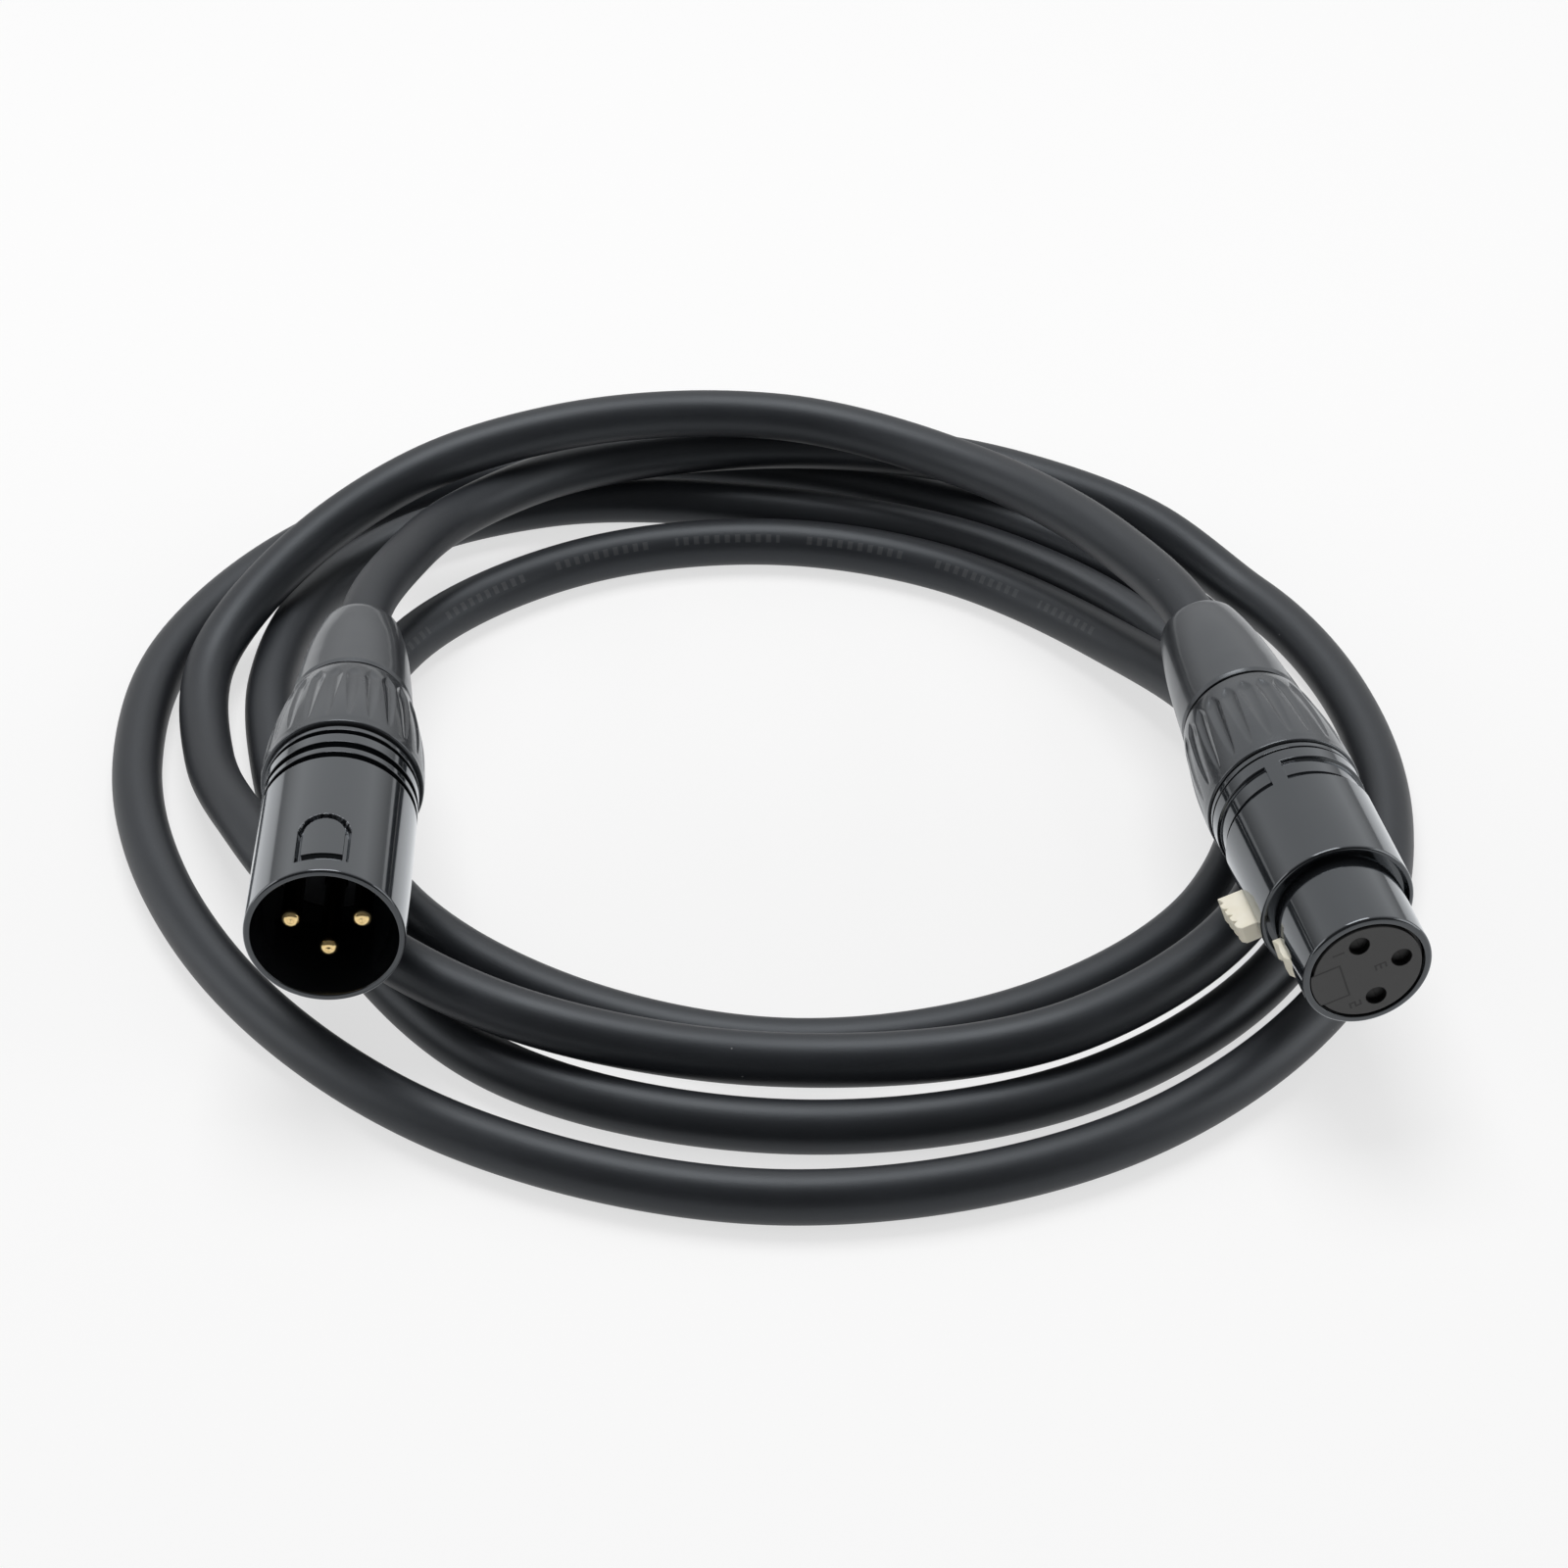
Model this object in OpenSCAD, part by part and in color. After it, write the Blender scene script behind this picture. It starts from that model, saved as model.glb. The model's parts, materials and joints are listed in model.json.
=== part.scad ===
// Coiled microphone cable with a male and a female three-pin connector.
// Each connector is drawn upright, from its cable exit at z = 0 to its front
// face, and then laid where it rests on the coil.

/* [Cable] */
// Outer diameter of the cable jacket
cable_d = 6.5; // [5.6:0.1:6.8]
// Diameter over the insulation of one inner conductor
core_d = 1.5; // [1:0.1:2]
// Diameter of the bare copper in one inner conductor
wire_d = 1; // [0.6:0.1:1.4]

/* [Connectors] */
// Length of the male connector from cable exit to mouth
male_length = 64.5; // [60:0.5:78]
// Length of the female connector from cable exit to face
female_length = 68.5; // [64:0.5:84]
// Outside diameter of the male shell
male_shell_d = 19; // [18.4:0.1:24]
// Diameter of the male mouth cavity
mouth_d = 16.2; // [15.8:0.1:17]
// Outside diameter of the female shell
female_shell_d = 18.8; // [17.8:0.1:24]
// Diameter of the female nose that enters a male mouth
nose_d = 15.7; // [15.2:0.1:16.6]
// Length of the female nose in front of its shoulder
nose_length = 11.2; // [10.8:0.1:14]
// Length of the male boot in front of the cable exit
male_boot_length = 18; // [15:0.5:20]
// Length of the female boot in front of the cable exit
female_boot_length = 19.9; // [16:0.1:22]
// Length of the fluted clamping collar
collar_length = 16.1; // [14:0.1:17]
// Number of grip flutes around a collar
flute_count = 24; // [8:1:30]

/* [Contacts] */
// Radius of the circle on which the three contacts stand
contact_circle_r = 4.2; // [4:0.05:4.5]
// Diameter of a male pin
pin_d = 2.4; // [2:0.05:2.9]
// Depth of the pin tips behind the male mouth
pin_recess = 3; // [1:0.5:6]
// Depth of the male insert's face behind the mouth
insert_depth = 16.5; // [14:0.5:18]
// Bore of a female contact
socket_bore_d = 2.5; // [2.2:0.05:2.6]
// Outside diameter of a female contact
socket_d = 3.4; // [3.2:0.1:3.8]
// Depth of the female contacts behind the face of their insert
socket_recess = 1; // [0.5:0.1:2]

/* [Latch] */
// Width of the latch lever
lever_w = 3.2; // [2.4:0.1:3.8]
// Width of the push tab
tab_w = 3.4; // [3:0.1:8]
// Height of the push tab above the shell at its rear end
tab_rise = 3.2; // [2:0.1:4]
// Diameter of the latch hinge pin
latch_pin_d = 1.2; // [0.8:0.1:1.6]

/* [Fits] */
// Gap between pieces that turn or slide past each other
run_gap = 0.3; // [0.2:0.05:0.5]
// Gap between pieces that are clamped or pushed together
seat_gap = 0.1; // [0.05:0.05:0.15]
// Gap all round the jacket in a boot
boot_gap = 0.2; // [0.1:0.05:0.4]

/* [Hidden] */
$fn = 64;
eps = 0.01;

cable_r = cable_d / 2;
male_shell_r = male_shell_d / 2;
female_shell_r = female_shell_d / 2;
mouth_r = mouth_d / 2;
nose_r = nose_d / 2;
pin_r = pin_d / 2;
socket_r = socket_d / 2;
socket_bore_r = socket_bore_d / 2;

// Cable entry, from the cable exit forwards: boot, collar and chuck.
boot_bore_r = cable_r + boot_gap;
boot_flare = 0.9;
flare_length = 6;
neck_length = 5;
neck_wall = 1;
lip_length = 2;
lip_rise = 0.6;
collar_ring_length = 2.4;
jaw_back = 2;
jaw_front = 6;
jaw_r = 4.6;
jaw_slot = 1;
chuck_wall = 1.4;
flange_end = 12;
jacket_in = 8;
neck_bore_r = jaw_r + run_gap;
neck_r = neck_bore_r + neck_wall;
lip_r = neck_r + lip_rise;
thread_wall = 0.95;
bore_r = 6.95;
thread_r = bore_r + thread_wall;
thread_gap = 0.2;
thread_start = 8;
flange_r = bore_r - run_gap;
flute_r = 1.1;
flute_depth = 0.4;

// Inserts and contacts.
insert_length = 10.4;
shaft_r = pin_r + 0.2;
cup_r = 1.5;
cup_bore_r = 1.05;
cup_length = 3.6;
tag_thickness = 0.4;
tag_width = 2;
tag_leaf = 4;
tag_reach = bore_r - 0.2;
contact_angles = [0, 180, 270];

male_face = male_length - insert_depth;
male_insert_rear = male_face - insert_length;
male_shell_rear = male_boot_length + collar_length + 2 * run_gap;
female_shell_rear = female_boot_length + collar_length + 2 * run_gap;
shoulder = female_length - nose_length;
female_insert_rear = shoulder - 13.9;
nose_relief = 0.2;

// Latch: a lever on a cross pin, with a push tab in the shell's slot and a
// hook in the nose's slot.
pivot_y = 5.4;
pivot_z = shoulder - 10.3;
lever_boss_r = 1.15;
lever_bottom = 4.9;
lever_top = 5.9;
lever_end = shoulder + 6.9;
hook_start = shoulder + 2.2;
hook_top = nose_r + 0.8;
tab_rear = shoulder - 7.3;
tab_front = shoulder - 0.5;
tab_bottom = bore_r + 0.55;
pocket_gap = 0.3;
pocket_floor = 3.4;
latch_pin_half = 2.8;

// Where the connectors lie: middle of the front face, heading of the axis
// clockwise from straight forwards, its rise, and the roll about it.
male_mouth = [-53.5, -59.5, 24];
male_heading = 1;
male_rise = 3;
male_roll = 0;
female_face = [67.5, -64.5, 23];
female_heading = 12;
female_rise = 0;
female_roll = 109;

// Cable route, from the male connector to the female one, clockwise seen
// from above. Each point is [hour on a clock face, distance from the middle
// of the coil, height of the centreline], and the hours run on past 12.
f = 0.4 * 6.5;
ROUTE = [
    [10, 58.5, 15.5], [10.5, 63, 11.8], [11, 65.5, 10], [12, 65, 9.6],
    [13, 66.5, 9.5], [13.5, 71.5, 6.4], [14, 74.5, f], [15, 77.5, f],
    [16, 81, f], [17, 82, f], [18, 81.5, f], [19, 80, f],
    [20, 80.5, f], [21, 84.5, f], [21.5, 86.2, f],
    [22, 85, f], [23, 79, f], [24, 69, f], [25, 64.2, f],
    [26, 65.5, f], [27, 69, f], [28, 73, f], [29, 72, f],
    [30, 69.5, f], [31, 68, f], [32, 64, f], [33, 66.5, f],
    [33.5, 71, f],
    [34, 74.5, f], [34.5, 74, f], [35, 69.5, f], [36, 59, f],
    [37, 56.8, f], [38, 58, f], [39, 60.5, f], [40, 60, f],
    [41, 57, f], [42, 55, f], [43, 54, f], [44, 56, f], [45, 58, f],
    [46, 57.5, f], [47, 54, f], [48, 51, f], [49, 49.8, f],
    [50, 50.5, 4.4], [51, 57, 9.5], [52, 68, 9.5], [53, 68, 8.8],
    [54, 62, 6.4], [55, 65.5, 9.4], [56, 68.5, 9.2], [56.5, 70.5, 7],
    [57, 75, 3.8], [57.5, 79.2, 5],
    [58, 75.5, 11], [58.5, 69.5, 16.4], [59, 65.5, 17.7],
    [60, 61.5, 16.6], [61, 54.5, 17], [62, 51, 20]];
long_step = 26;
ring_sides = 6;
near_cable = 30;
gap_steps = 5;

function unit(v) = v / norm(v);
function axis(heading, rise) =
    [sin(heading) * cos(rise), -cos(heading) * cos(rise), sin(rise)];
function clock(p) =
    [p[1] * sin(30 * p[0]), p[1] * cos(30 * p[0]), p[2]];

male_axis = axis(male_heading, male_rise);
female_axis = axis(female_heading, female_rise);
male_exit = male_mouth - male_length * male_axis;
female_exit = female_face - female_length * female_axis;
male_jacket_end = male_exit + (male_boot_length + jacket_in) * male_axis;
female_jacket_end =
    female_exit + (female_boot_length + jacket_in) * female_axis;

stops = concat([male_exit], [for (p = ROUTE) clock(p)], [female_exit]);
last = len(stops) - 1;
step = [for (i = [0 : last - 1]) norm(stops[i + 1] - stops[i])];
function slope(i) =
    i == 0 ? -male_axis
    : i == last ? female_axis
    : ((stops[i + 1] - stops[i]) * step[i - 1] / step[i]
        + (stops[i] - stops[i - 1]) * step[i] / step[i - 1])
        / (step[i - 1] + step[i]);
// A cubic with the given ends and slopes, u of the way along it.
function blend(a, b, ta, tb, u) =
    (2 * u^3 - 3 * u^2 + 1) * a + (u^3 - 2 * u^2 + u) * ta
    + (3 * u^2 - 2 * u^3) * b + (u^3 - u^2) * tb;
centres = concat(
    [male_jacket_end],
    [for (i = [0 : last - 1])
        let (n = step[i] > long_step ? 2 : 1)
        for (k = [0 : n - 1])
            blend(stops[i], stops[i + 1],
                slope(i) * step[i], slope(i + 1) * step[i], k / n)],
    [female_exit, female_jacket_end]);
rings = len(centres);
function way(i) =
    i == 0 ? -male_axis
    : i == rings - 1 ? female_axis
    : unit(unit(centres[i + 1] - centres[i])
        + unit(centres[i] - centres[i - 1]));
function ring(i) =
    let (t = way(i), side = unit(cross(t, [0, 0, 1])), up = cross(side, t))
    [for (k = [0 : ring_sides - 1])
        let (a = 360 * k / ring_sides,
            p = centres[i] + cable_r * (cos(a) * side + sin(a) * up))
        [p[0], p[1], max(0, p[2])]];
skin = [for (i = [0 : rings - 1]) each ring(i)];
low = [min([for (p = skin) p[0]]), min([for (p = skin) p[1]])];
high = [max([for (p = skin) p[0]]), max([for (p = skin) p[1]])];
centring = [-(low[0] + high[0]) / 2, -(low[1] + high[1]) / 2, 0];

// Centreline points close together, how far along the cable each one is,
// and the least gap between stretches that lie apart along the cable.
trail = [for (i = [0 : rings - 2]) for (k = [0 : gap_steps - 1])
    centres[i] + (centres[i + 1] - centres[i]) * k / gap_steps];
along = [for (i = 0, s = 0; i < len(trail);
    s = s + (i < len(trail) - 1 ? norm(trail[i + 1] - trail[i]) : 0),
    i = i + 1) s];
function least_gap() =
    min([for (i = [0 : len(trail) - 2])
        min(concat([1000], [for (j = [i + 1 : len(trail) - 1])
            if (along[j] - along[i] > near_cable)
                norm(trail[j] - trail[i])]))]) - cable_d;

// Turns a piece that is drawn upright to where its connector lies.
module lay_male() {
    translate(centring + male_exit)
        rotate([90 - male_rise, 0, male_heading])
            rotate([0, 0, male_roll])
                children();
}

module lay_female() {
    translate(centring + female_exit)
        rotate([90 - female_rise, 0, female_heading])
            rotate([0, 0, female_roll])
                children();
}

// A round bar from z1 to z2.
module bar(r, z1, z2) {
    translate([0, 0, z1])
        cylinder(h = z2 - z1, r = r);
}

// A straight run of wire from one point to another.
module run(a, b, r) {
    d = b - a;
    translate(a)
        rotate([0, acos(d[2] / norm(d)), atan2(d[1], d[0])])
            cylinder(h = norm(d), r = r, $fn = 24);
}

module cable_jacket() {
    echo(str("rings ", rings, ", cable length between exits ",
        along[len(along) - 1] - male_boot_length - jacket_in
        - (female_boot_length + jacket_in) * (gap_steps - 1) / gap_steps));
    echo(str("least gap of the cable to itself ", least_gap()));
    n = ring_sides;
    walls = [for (i = [0 : rings - 2]) for (k = [0 : n - 1])
        let (a = i * n + k, b = i * n + (k + 1) % n)
        each [[a, b, b + n], [a, b + n, a + n]]];
    rear = [for (k = [1 : n - 2]) [0, k + 1, k]];
    front = [for (k = [1 : n - 2])
        [(rings - 1) * n, (rings - 1) * n + k, (rings - 1) * n + k + 1]];
    color("#2b2d30")
        translate(centring)
            polyhedron(points = skin, faces = concat(walls, rear, front));
}

// Strain relief: domed at the exit, tapered, with a necked front end that
// the collar turns on and a bore that lets the jaws in.
module boot(length, seam_r) {
    difference() {
        rotate_extrude()
            polygon([
                [0, 0], [boot_bore_r + boot_flare + 0.2, 0],
                [4.9, 0.45], [5.3, 1.3], [5.6, 2.6],
                [5.6 + 0.35 * (seam_r - 5.6), 0.3 * length],
                [5.6 + 0.78 * (seam_r - 5.6), 0.7 * length],
                [seam_r, length - 0.6], [seam_r - 0.15, length],
                [neck_r, length],
                [neck_r, length + neck_length - lip_length],
                [lip_r, length + neck_length - lip_length],
                [lip_r, length + neck_length - 0.5],
                [lip_r - 0.5, length + neck_length],
                [0, length + neck_length]]);
        bar(boot_bore_r, -1, length);
        translate([0, 0, -eps])
            cylinder(h = flare_length, r1 = boot_bore_r + boot_flare,
                r2 = boot_bore_r);
        bar(neck_bore_r, length - jaw_back - 1.5,
            length + neck_length + 1);
    }
}

// Clamping collar: turns on the boot's neck and screws onto the shell.
module collar(start, rear_r, front_r) {
    rear = start + run_gap;
    front = rear + collar_length;
    difference() {
        rotate_extrude()
            polygon([
                [neck_r + run_gap, rear], [rear_r - 0.2, rear],
                [rear_r, rear + 0.25],
                [rear_r + 0.5 * (front_r - rear_r), rear + 0.3 * collar_length],
                [rear_r + 0.85 * (front_r - rear_r), rear + 0.6 * collar_length],
                [front_r, front - 0.3], [front_r - 0.3, front],
                [thread_r + thread_gap, front],
                [thread_r + thread_gap, rear + collar_ring_length + 3.8],
                [lip_r + run_gap + 0.1, rear + collar_ring_length + 3.8],
                [lip_r + run_gap + 0.1, rear + collar_ring_length],
                [neck_r + run_gap, rear + collar_ring_length]]);
        for (k = [0 : flute_count - 1])
            rotate([0, 0, 360 * (k + 0.5) / flute_count])
                run([rear_r - flute_depth + flute_r + 0.1, 0, rear - 1],
                    [front_r + flute_r + 0.5, 0,
                        rear + 0.87 * collar_length],
                    flute_r);
    }
}

// Chuck: four jaws round the jacket, on a flange inside the shell's tube.
module chuck(start) {
    difference() {
        union() {
            bar(jaw_r, start - jaw_back, start + jaw_front + eps);
            bar(flange_r, start + jaw_front, start + flange_end);
        }
        bar(cable_r + 0.05, start - jaw_back - 1, start + jacket_in + 0.05);
        bar(flange_r - chuck_wall, start + jacket_in + 0.05,
            start + flange_end + 1);
        for (a = [0, 90])
            rotate([0, 0, a])
                translate([-jaw_r - 1, -jaw_slot / 2,
                    start - jaw_back - 1])
                    cube([2 * jaw_r + 2, jaw_slot,
                        jaw_back + jaw_front - 0.6]);
    }
}

// One insulated core from the jacket's end to a solder cup.
module core(start, cup_rear, angle, r) {
    foot_r = 1.35;
    run([foot_r * cos(angle), foot_r * sin(angle),
            start + jacket_in + 0.45],
        [contact_circle_r * cos(angle), contact_circle_r * sin(angle),
            cup_rear - 0.5],
        r);
}

module bare_end(cup_rear, angle) {
    translate([contact_circle_r * cos(angle),
        contact_circle_r * sin(angle), 0])
        bar(wire_d / 2, cup_rear - 0.8, cup_rear + 2.5);
}

// Solder cup and shaft at the rear of a contact, for a contact whose insert
// begins at z.
module cup(z) {
    tag_room = tag_thickness + 0.3;
    difference() {
        bar(cup_r, z - tag_room - cup_length, z - tag_room);
        bar(cup_bore_r, z - tag_room - cup_length - 1, z - tag_room - 0.8);
    }
    bar(shaft_r, z - tag_room - eps, z + 1.2);
}

function cup_rear(z) = z - tag_thickness - 0.3 - cup_length;

// Ground tag: a ring on contact 1, an arm outwards and a leaf along the shell.
module ground_tag(z, angle) {
    z2 = z - 0.15;
    z1 = z2 - tag_thickness;
    rotate([0, 0, angle])
        difference() {
            union() {
                translate([contact_circle_r, 0, 0])
                    bar(2, z1, z2);
                translate([contact_circle_r, -tag_width / 2, z1])
                    cube([tag_reach - contact_circle_r, tag_width,
                        tag_thickness]);
                translate([tag_reach - tag_thickness, -tag_width / 2,
                    z2 - tag_leaf])
                    cube([tag_thickness, tag_width, tag_leaf]);
            }
            translate([contact_circle_r, 0, 0])
                bar(shaft_r + 0.1, z1 - 1, z2 + 1);
        }
}

module male_shell() {
    color("#1b1c1e")
        lay_male()
            difference() {
                rotate_extrude()
                    polygon([
                        [bore_r, male_boot_length + thread_start],
                        [thread_r - 0.4, male_boot_length + thread_start],
                        [thread_r, male_boot_length + thread_start + 0.4],
                        [thread_r, male_shell_rear],
                        [male_shell_r - 0.2, male_shell_rear],
                        [male_shell_r, male_shell_rear + 0.2],
                        [male_shell_r, male_length - 0.4],
                        [male_shell_r - 0.15, male_length - 0.1],
                        [male_shell_r - 0.4, male_length],
                        [mouth_r + 0.6, male_length],
                        [mouth_r, male_length - 6],
                        [mouth_r, male_insert_rear - 0.1],
                        [bore_r, male_insert_rear - 0.1]]);
                for (g = [[0.85, 0.5, 0.5], [3.3, 0.95, 0.7],
                    [5.3, 0.75, 0.6]])
                    ring_groove(male_shell_r, male_shell_rear + g[0], g[1],
                        g[2]);
                badge_recess();
                latch_window();
            }
}

// A groove turned into a shell of radius r, w wide.
module ring_groove(r, z, w, deep) {
    translate([0, 0, z])
        difference() {
            cylinder(h = w, r = r + 1);
            translate([0, 0, -1])
                cylinder(h = w + 2, r = r - deep);
        }
}

// The plain arched recess on top of the male shell.
module badge_recess() {
    w = 7.2;
    front = male_length - 2.4;
    rear = male_length - 11.3;
    intersection() {
        difference() {
            bar(male_shell_r + 1, rear - 1, front + 1);
            bar(male_shell_r - 0.4, rear - 2, front + 2);
        }
        rotate([-90, 0, 0])
            linear_extrude(height = male_shell_r + 2)
                union() {
                    translate([-w / 2, -front])
                        square([w, front - rear - w / 2]);
                    translate([0, -rear - w / 2])
                        circle(d = w);
                }
    }
}

// The pocket inside the male mouth that the hook of a female latch enters.
module latch_window() {
    translate([-2.2, 0, male_length - 10])
        cube([4.4, mouth_r + 0.5, 6.5]);
}

module male_insert() {
    color("#16171a")
        lay_male()
            difference() {
                bar(mouth_r - seat_gap, male_insert_rear, male_face);
                for (a = contact_angles)
                    rotate([0, 0, a])
                        translate([contact_circle_r, 0, 0])
                            bar(shaft_r + 0.05, male_insert_rear - 1,
                                male_face + 1);
            }
}

module male_pin(angle) {
    tip = male_length - pin_recess;
    color("#d8b25a")
        lay_male()
            rotate([0, 0, angle])
                translate([contact_circle_r, 0, 0]) {
                    cup(male_insert_rear);
                    bar(shaft_r, male_insert_rear + 1, male_face);
                    bar(pin_r, male_face - eps, tip - pin_r);
                    translate([0, 0, tip - pin_r])
                        sphere(r = pin_r);
                }
}

module male_pin_1() { male_pin(180); }
module male_pin_2() { male_pin(0); }
module male_pin_3() { male_pin(270); }

module male_ground_tag() {
    color("#b9bcc0")
        lay_male()
            ground_tag(male_insert_rear, 180);
}

module male_chuck() {
    color("#3a3c40")
        lay_male()
            chuck(male_boot_length);
}

module male_collar() {
    color("#1e1f22")
        lay_male()
            collar(male_boot_length, 7.9, 10);
}

module male_boot() {
    color("#232427")
        lay_male()
            boot(male_boot_length, 7.75);
}

module male_hot_core() {
    color("#b3262b")
        lay_male() {
            core(male_boot_length, cup_rear(male_insert_rear), 0,
                core_d / 2);
            bare_end(cup_rear(male_insert_rear), 0);
        }
}

module male_cold_core() {
    color("#e8e6df")
        lay_male() {
            core(male_boot_length, cup_rear(male_insert_rear), 270,
                core_d / 2);
            bare_end(cup_rear(male_insert_rear), 270);
        }
}

module male_screen_wire() {
    color("#b87333")
        lay_male() {
            core(male_boot_length, cup_rear(male_insert_rear), 180,
                0.6 * wire_d);
            bare_end(cup_rear(male_insert_rear), 180);
        }
}

module female_shell() {
    slot_z = female_shell_rear + 3.1;
    slot_w = 2.4;
    color("#1b1c1e")
        lay_female()
            difference() {
                rotate_extrude()
                    polygon([
                        [bore_r, female_boot_length + thread_start],
                        [thread_r - 0.4, female_boot_length + thread_start],
                        [thread_r, female_boot_length + thread_start + 0.4],
                        [thread_r, female_shell_rear],
                        [female_shell_r - 0.2, female_shell_rear],
                        [female_shell_r, female_shell_rear + 0.2],
                        [female_shell_r, shoulder - 0.5],
                        [female_shell_r - 0.5, shoulder],
                        [nose_r + 1, shoulder],
                        [nose_r + 0.6, shoulder - 1],
                        [nose_r - nose_relief, shoulder - 1],
                        [nose_r - nose_relief, lever_end + run_gap + 0.1],
                        [nose_r, lever_end + run_gap + 0.3],
                        [nose_r, female_length - 0.4],
                        [nose_r - 0.4, female_length],
                        [bore_r, female_length]]);
                arc_slots(slot_z, slot_w);
                translate([-tab_w / 2 - run_gap, 0, tab_rear - run_gap])
                    cube([tab_w + 2 * run_gap, female_shell_r + 2,
                        shoulder - tab_rear + run_gap + eps]);
                translate([-lever_w / 2 - run_gap, 0, shoulder - 1])
                    cube([lever_w + 2 * run_gap, nose_r + 2,
                        lever_end + run_gap - shoulder + 1]);
                screw_hole(0.05, 3);
            }
}

// Two slots sunk round the shell with a bridge between their ends.
module arc_slots(z, w) {
    bridge = 12.5;
    reach = 100;
    middle = 1;
    for (side = [-1, 1])
        rotate([0, 0, middle + side * (bridge + reach) / 2 - reach / 2])
            translate([0, 0, z])
                rotate_extrude(angle = reach)
                    translate([female_shell_r - 0.9, 0])
                        square([1.9, w]);
}

// The hole of the grub screw that pins the insert to the nose.
module screw_hole(gap, extra) {
    rotate([0, 0, 135])
        translate([5.5, 0, female_length - 1.9])
            rotate([0, 90, 0])
                cylinder(h = nose_r - 5.5 - 0.15 + extra, r = 0.7 + gap);
}

module female_insert_screw() {
    color("#8d9095")
        lay_female()
            difference() {
                screw_hole(0, 0);
                rotate([0, 0, 135])
                    translate([nose_r - 0.65, -0.15, female_length - 3])
                        cube([1, 0.3, 2.2]);
            }
}

module female_insert() {
    color("#2a2b2e")
        lay_female()
            difference() {
                bar(bore_r - seat_gap, female_insert_rear, female_length);
                for (a = contact_angles)
                    rotate([0, 0, a])
                        translate([contact_circle_r, 0, 0]) {
                            bar(shaft_r + 0.1, female_insert_rear - 1,
                                female_insert_rear + 2);
                            bar(socket_r + seat_gap, female_insert_rear + 1,
                                female_length - socket_recess + seat_gap);
                            bar(socket_bore_r, female_length - 2,
                                female_length + 1);
                        }
                translate([-lever_w / 2 - pocket_gap, pocket_floor,
                    pivot_z - lever_boss_r - pocket_gap])
                    cube([lever_w + 2 * pocket_gap, bore_r,
                        lever_end + pocket_gap + pocket_gap
                        - pivot_z + lever_boss_r]);
                translate([0, pivot_y, pivot_z])
                    rotate([0, 90, 0])
                        cylinder(h = 2 * latch_pin_half + 0.2,
                            r = latch_pin_d / 2 + 0.05, center = true);
                screw_hole(0.05, 3);
            }
}

module female_socket(angle) {
    rear = female_insert_rear + 1.1;
    front = female_length - socket_recess;
    color("#d8b25a")
        lay_female()
            rotate([0, 0, angle])
                translate([contact_circle_r, 0, 0]) {
                    cup(female_insert_rear);
                    difference() {
                        bar(socket_r, rear, front);
                        bar(socket_bore_r, front - 14, front + 1);
                    }
                }
}

module female_socket_1() { female_socket(0); }
module female_socket_2() { female_socket(180); }
module female_socket_3() { female_socket(270); }

module female_ground_tag() {
    color("#b9bcc0")
        lay_female()
            ground_tag(female_insert_rear, 0);
}

// A piece drawn as [z, y] points and w wide, centred on the latch's plane.
module plate(w, points) {
    translate([-w / 2, 0, 0])
        rotate([0, 0, 90])
            rotate([90, 0, 0])
                linear_extrude(height = w)
                    polygon([for (p = points) [p[1], p[0]]]);
}

module female_latch() {
    top = female_shell_r + tab_rise;
    teeth = 4;
    pitch = (tab_front - tab_rear - 1.2) / teeth;
    color("#ece4cf")
        lay_female()
            difference() {
                union() {
                    plate(lever_w, [
                        [pivot_z, lever_bottom], [lever_end, lever_bottom],
                        [lever_end, hook_top - 1.3],
                        [lever_end - 1.4, hook_top - 0.4],
                        [lever_end - 2.6, hook_top - 0.3],
                        [hook_start + 0.9, hook_top - 0.5],
                        [hook_start, hook_top], [hook_start, lever_top],
                        [pivot_z, lever_top]]);
                    translate([0, pivot_y, pivot_z])
                        rotate([0, 90, 0])
                            cylinder(h = lever_w, r = lever_boss_r,
                                center = true);
                    plate(lever_w, [
                        [tab_rear + 0.5, lever_top - 0.5],
                        [tab_front - 0.5, lever_top - 0.5],
                        [tab_front - 0.5, tab_bottom + 0.2],
                        [tab_rear + 0.5, tab_bottom + 0.2]]);
                    plate(tab_w, concat(
                        [[tab_rear, tab_bottom], [tab_front, tab_bottom],
                        [tab_front, top - 1.4]],
                        [for (k = [0 : teeth - 1]) each
                            [[tab_front - 0.5 - k * pitch,
                                top - 0.9 + 0.2 * k],
                            [tab_front - 0.5 - (k + 0.6) * pitch,
                                top - 0.8 + 0.2 * k],
                            [tab_front - 0.5 - (k + 0.8) * pitch,
                                top - 1.1 + 0.2 * k]]],
                        [[tab_rear, top - 0.2]]));
                }
                translate([0, pivot_y, pivot_z])
                    rotate([0, 90, 0])
                        cylinder(h = lever_w + 1, r = latch_pin_d / 2 + 0.15,
                            center = true);
            }
}

module female_latch_pin() {
    color("#c5c8cc")
        lay_female()
            translate([0, pivot_y, pivot_z])
                rotate([0, 90, 0])
                    cylinder(h = 2 * latch_pin_half, r = latch_pin_d / 2,
                        center = true);
}

// Leaf spring under the lever. Its free end presses towards the pocket floor.
module female_latch_spring() {
    seat = lever_bottom - 0.05;
    t = 0.25;
    color("#9fa3a8")
        lay_female()
            plate(2.4, [
                [shoulder + 3, seat - t], [shoulder + 3, seat],
                [shoulder - 0.5, seat],
                [shoulder - 6, seat - 0.75],
                [shoulder - 6, seat - 0.75 - t],
                [shoulder - 0.5, seat - t]]);
}

module female_chuck() {
    color("#3a3c40")
        lay_female()
            chuck(female_boot_length);
}

module female_collar() {
    color("#1e1f22")
        lay_female()
            collar(female_boot_length, 8, 9.95);
}

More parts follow.
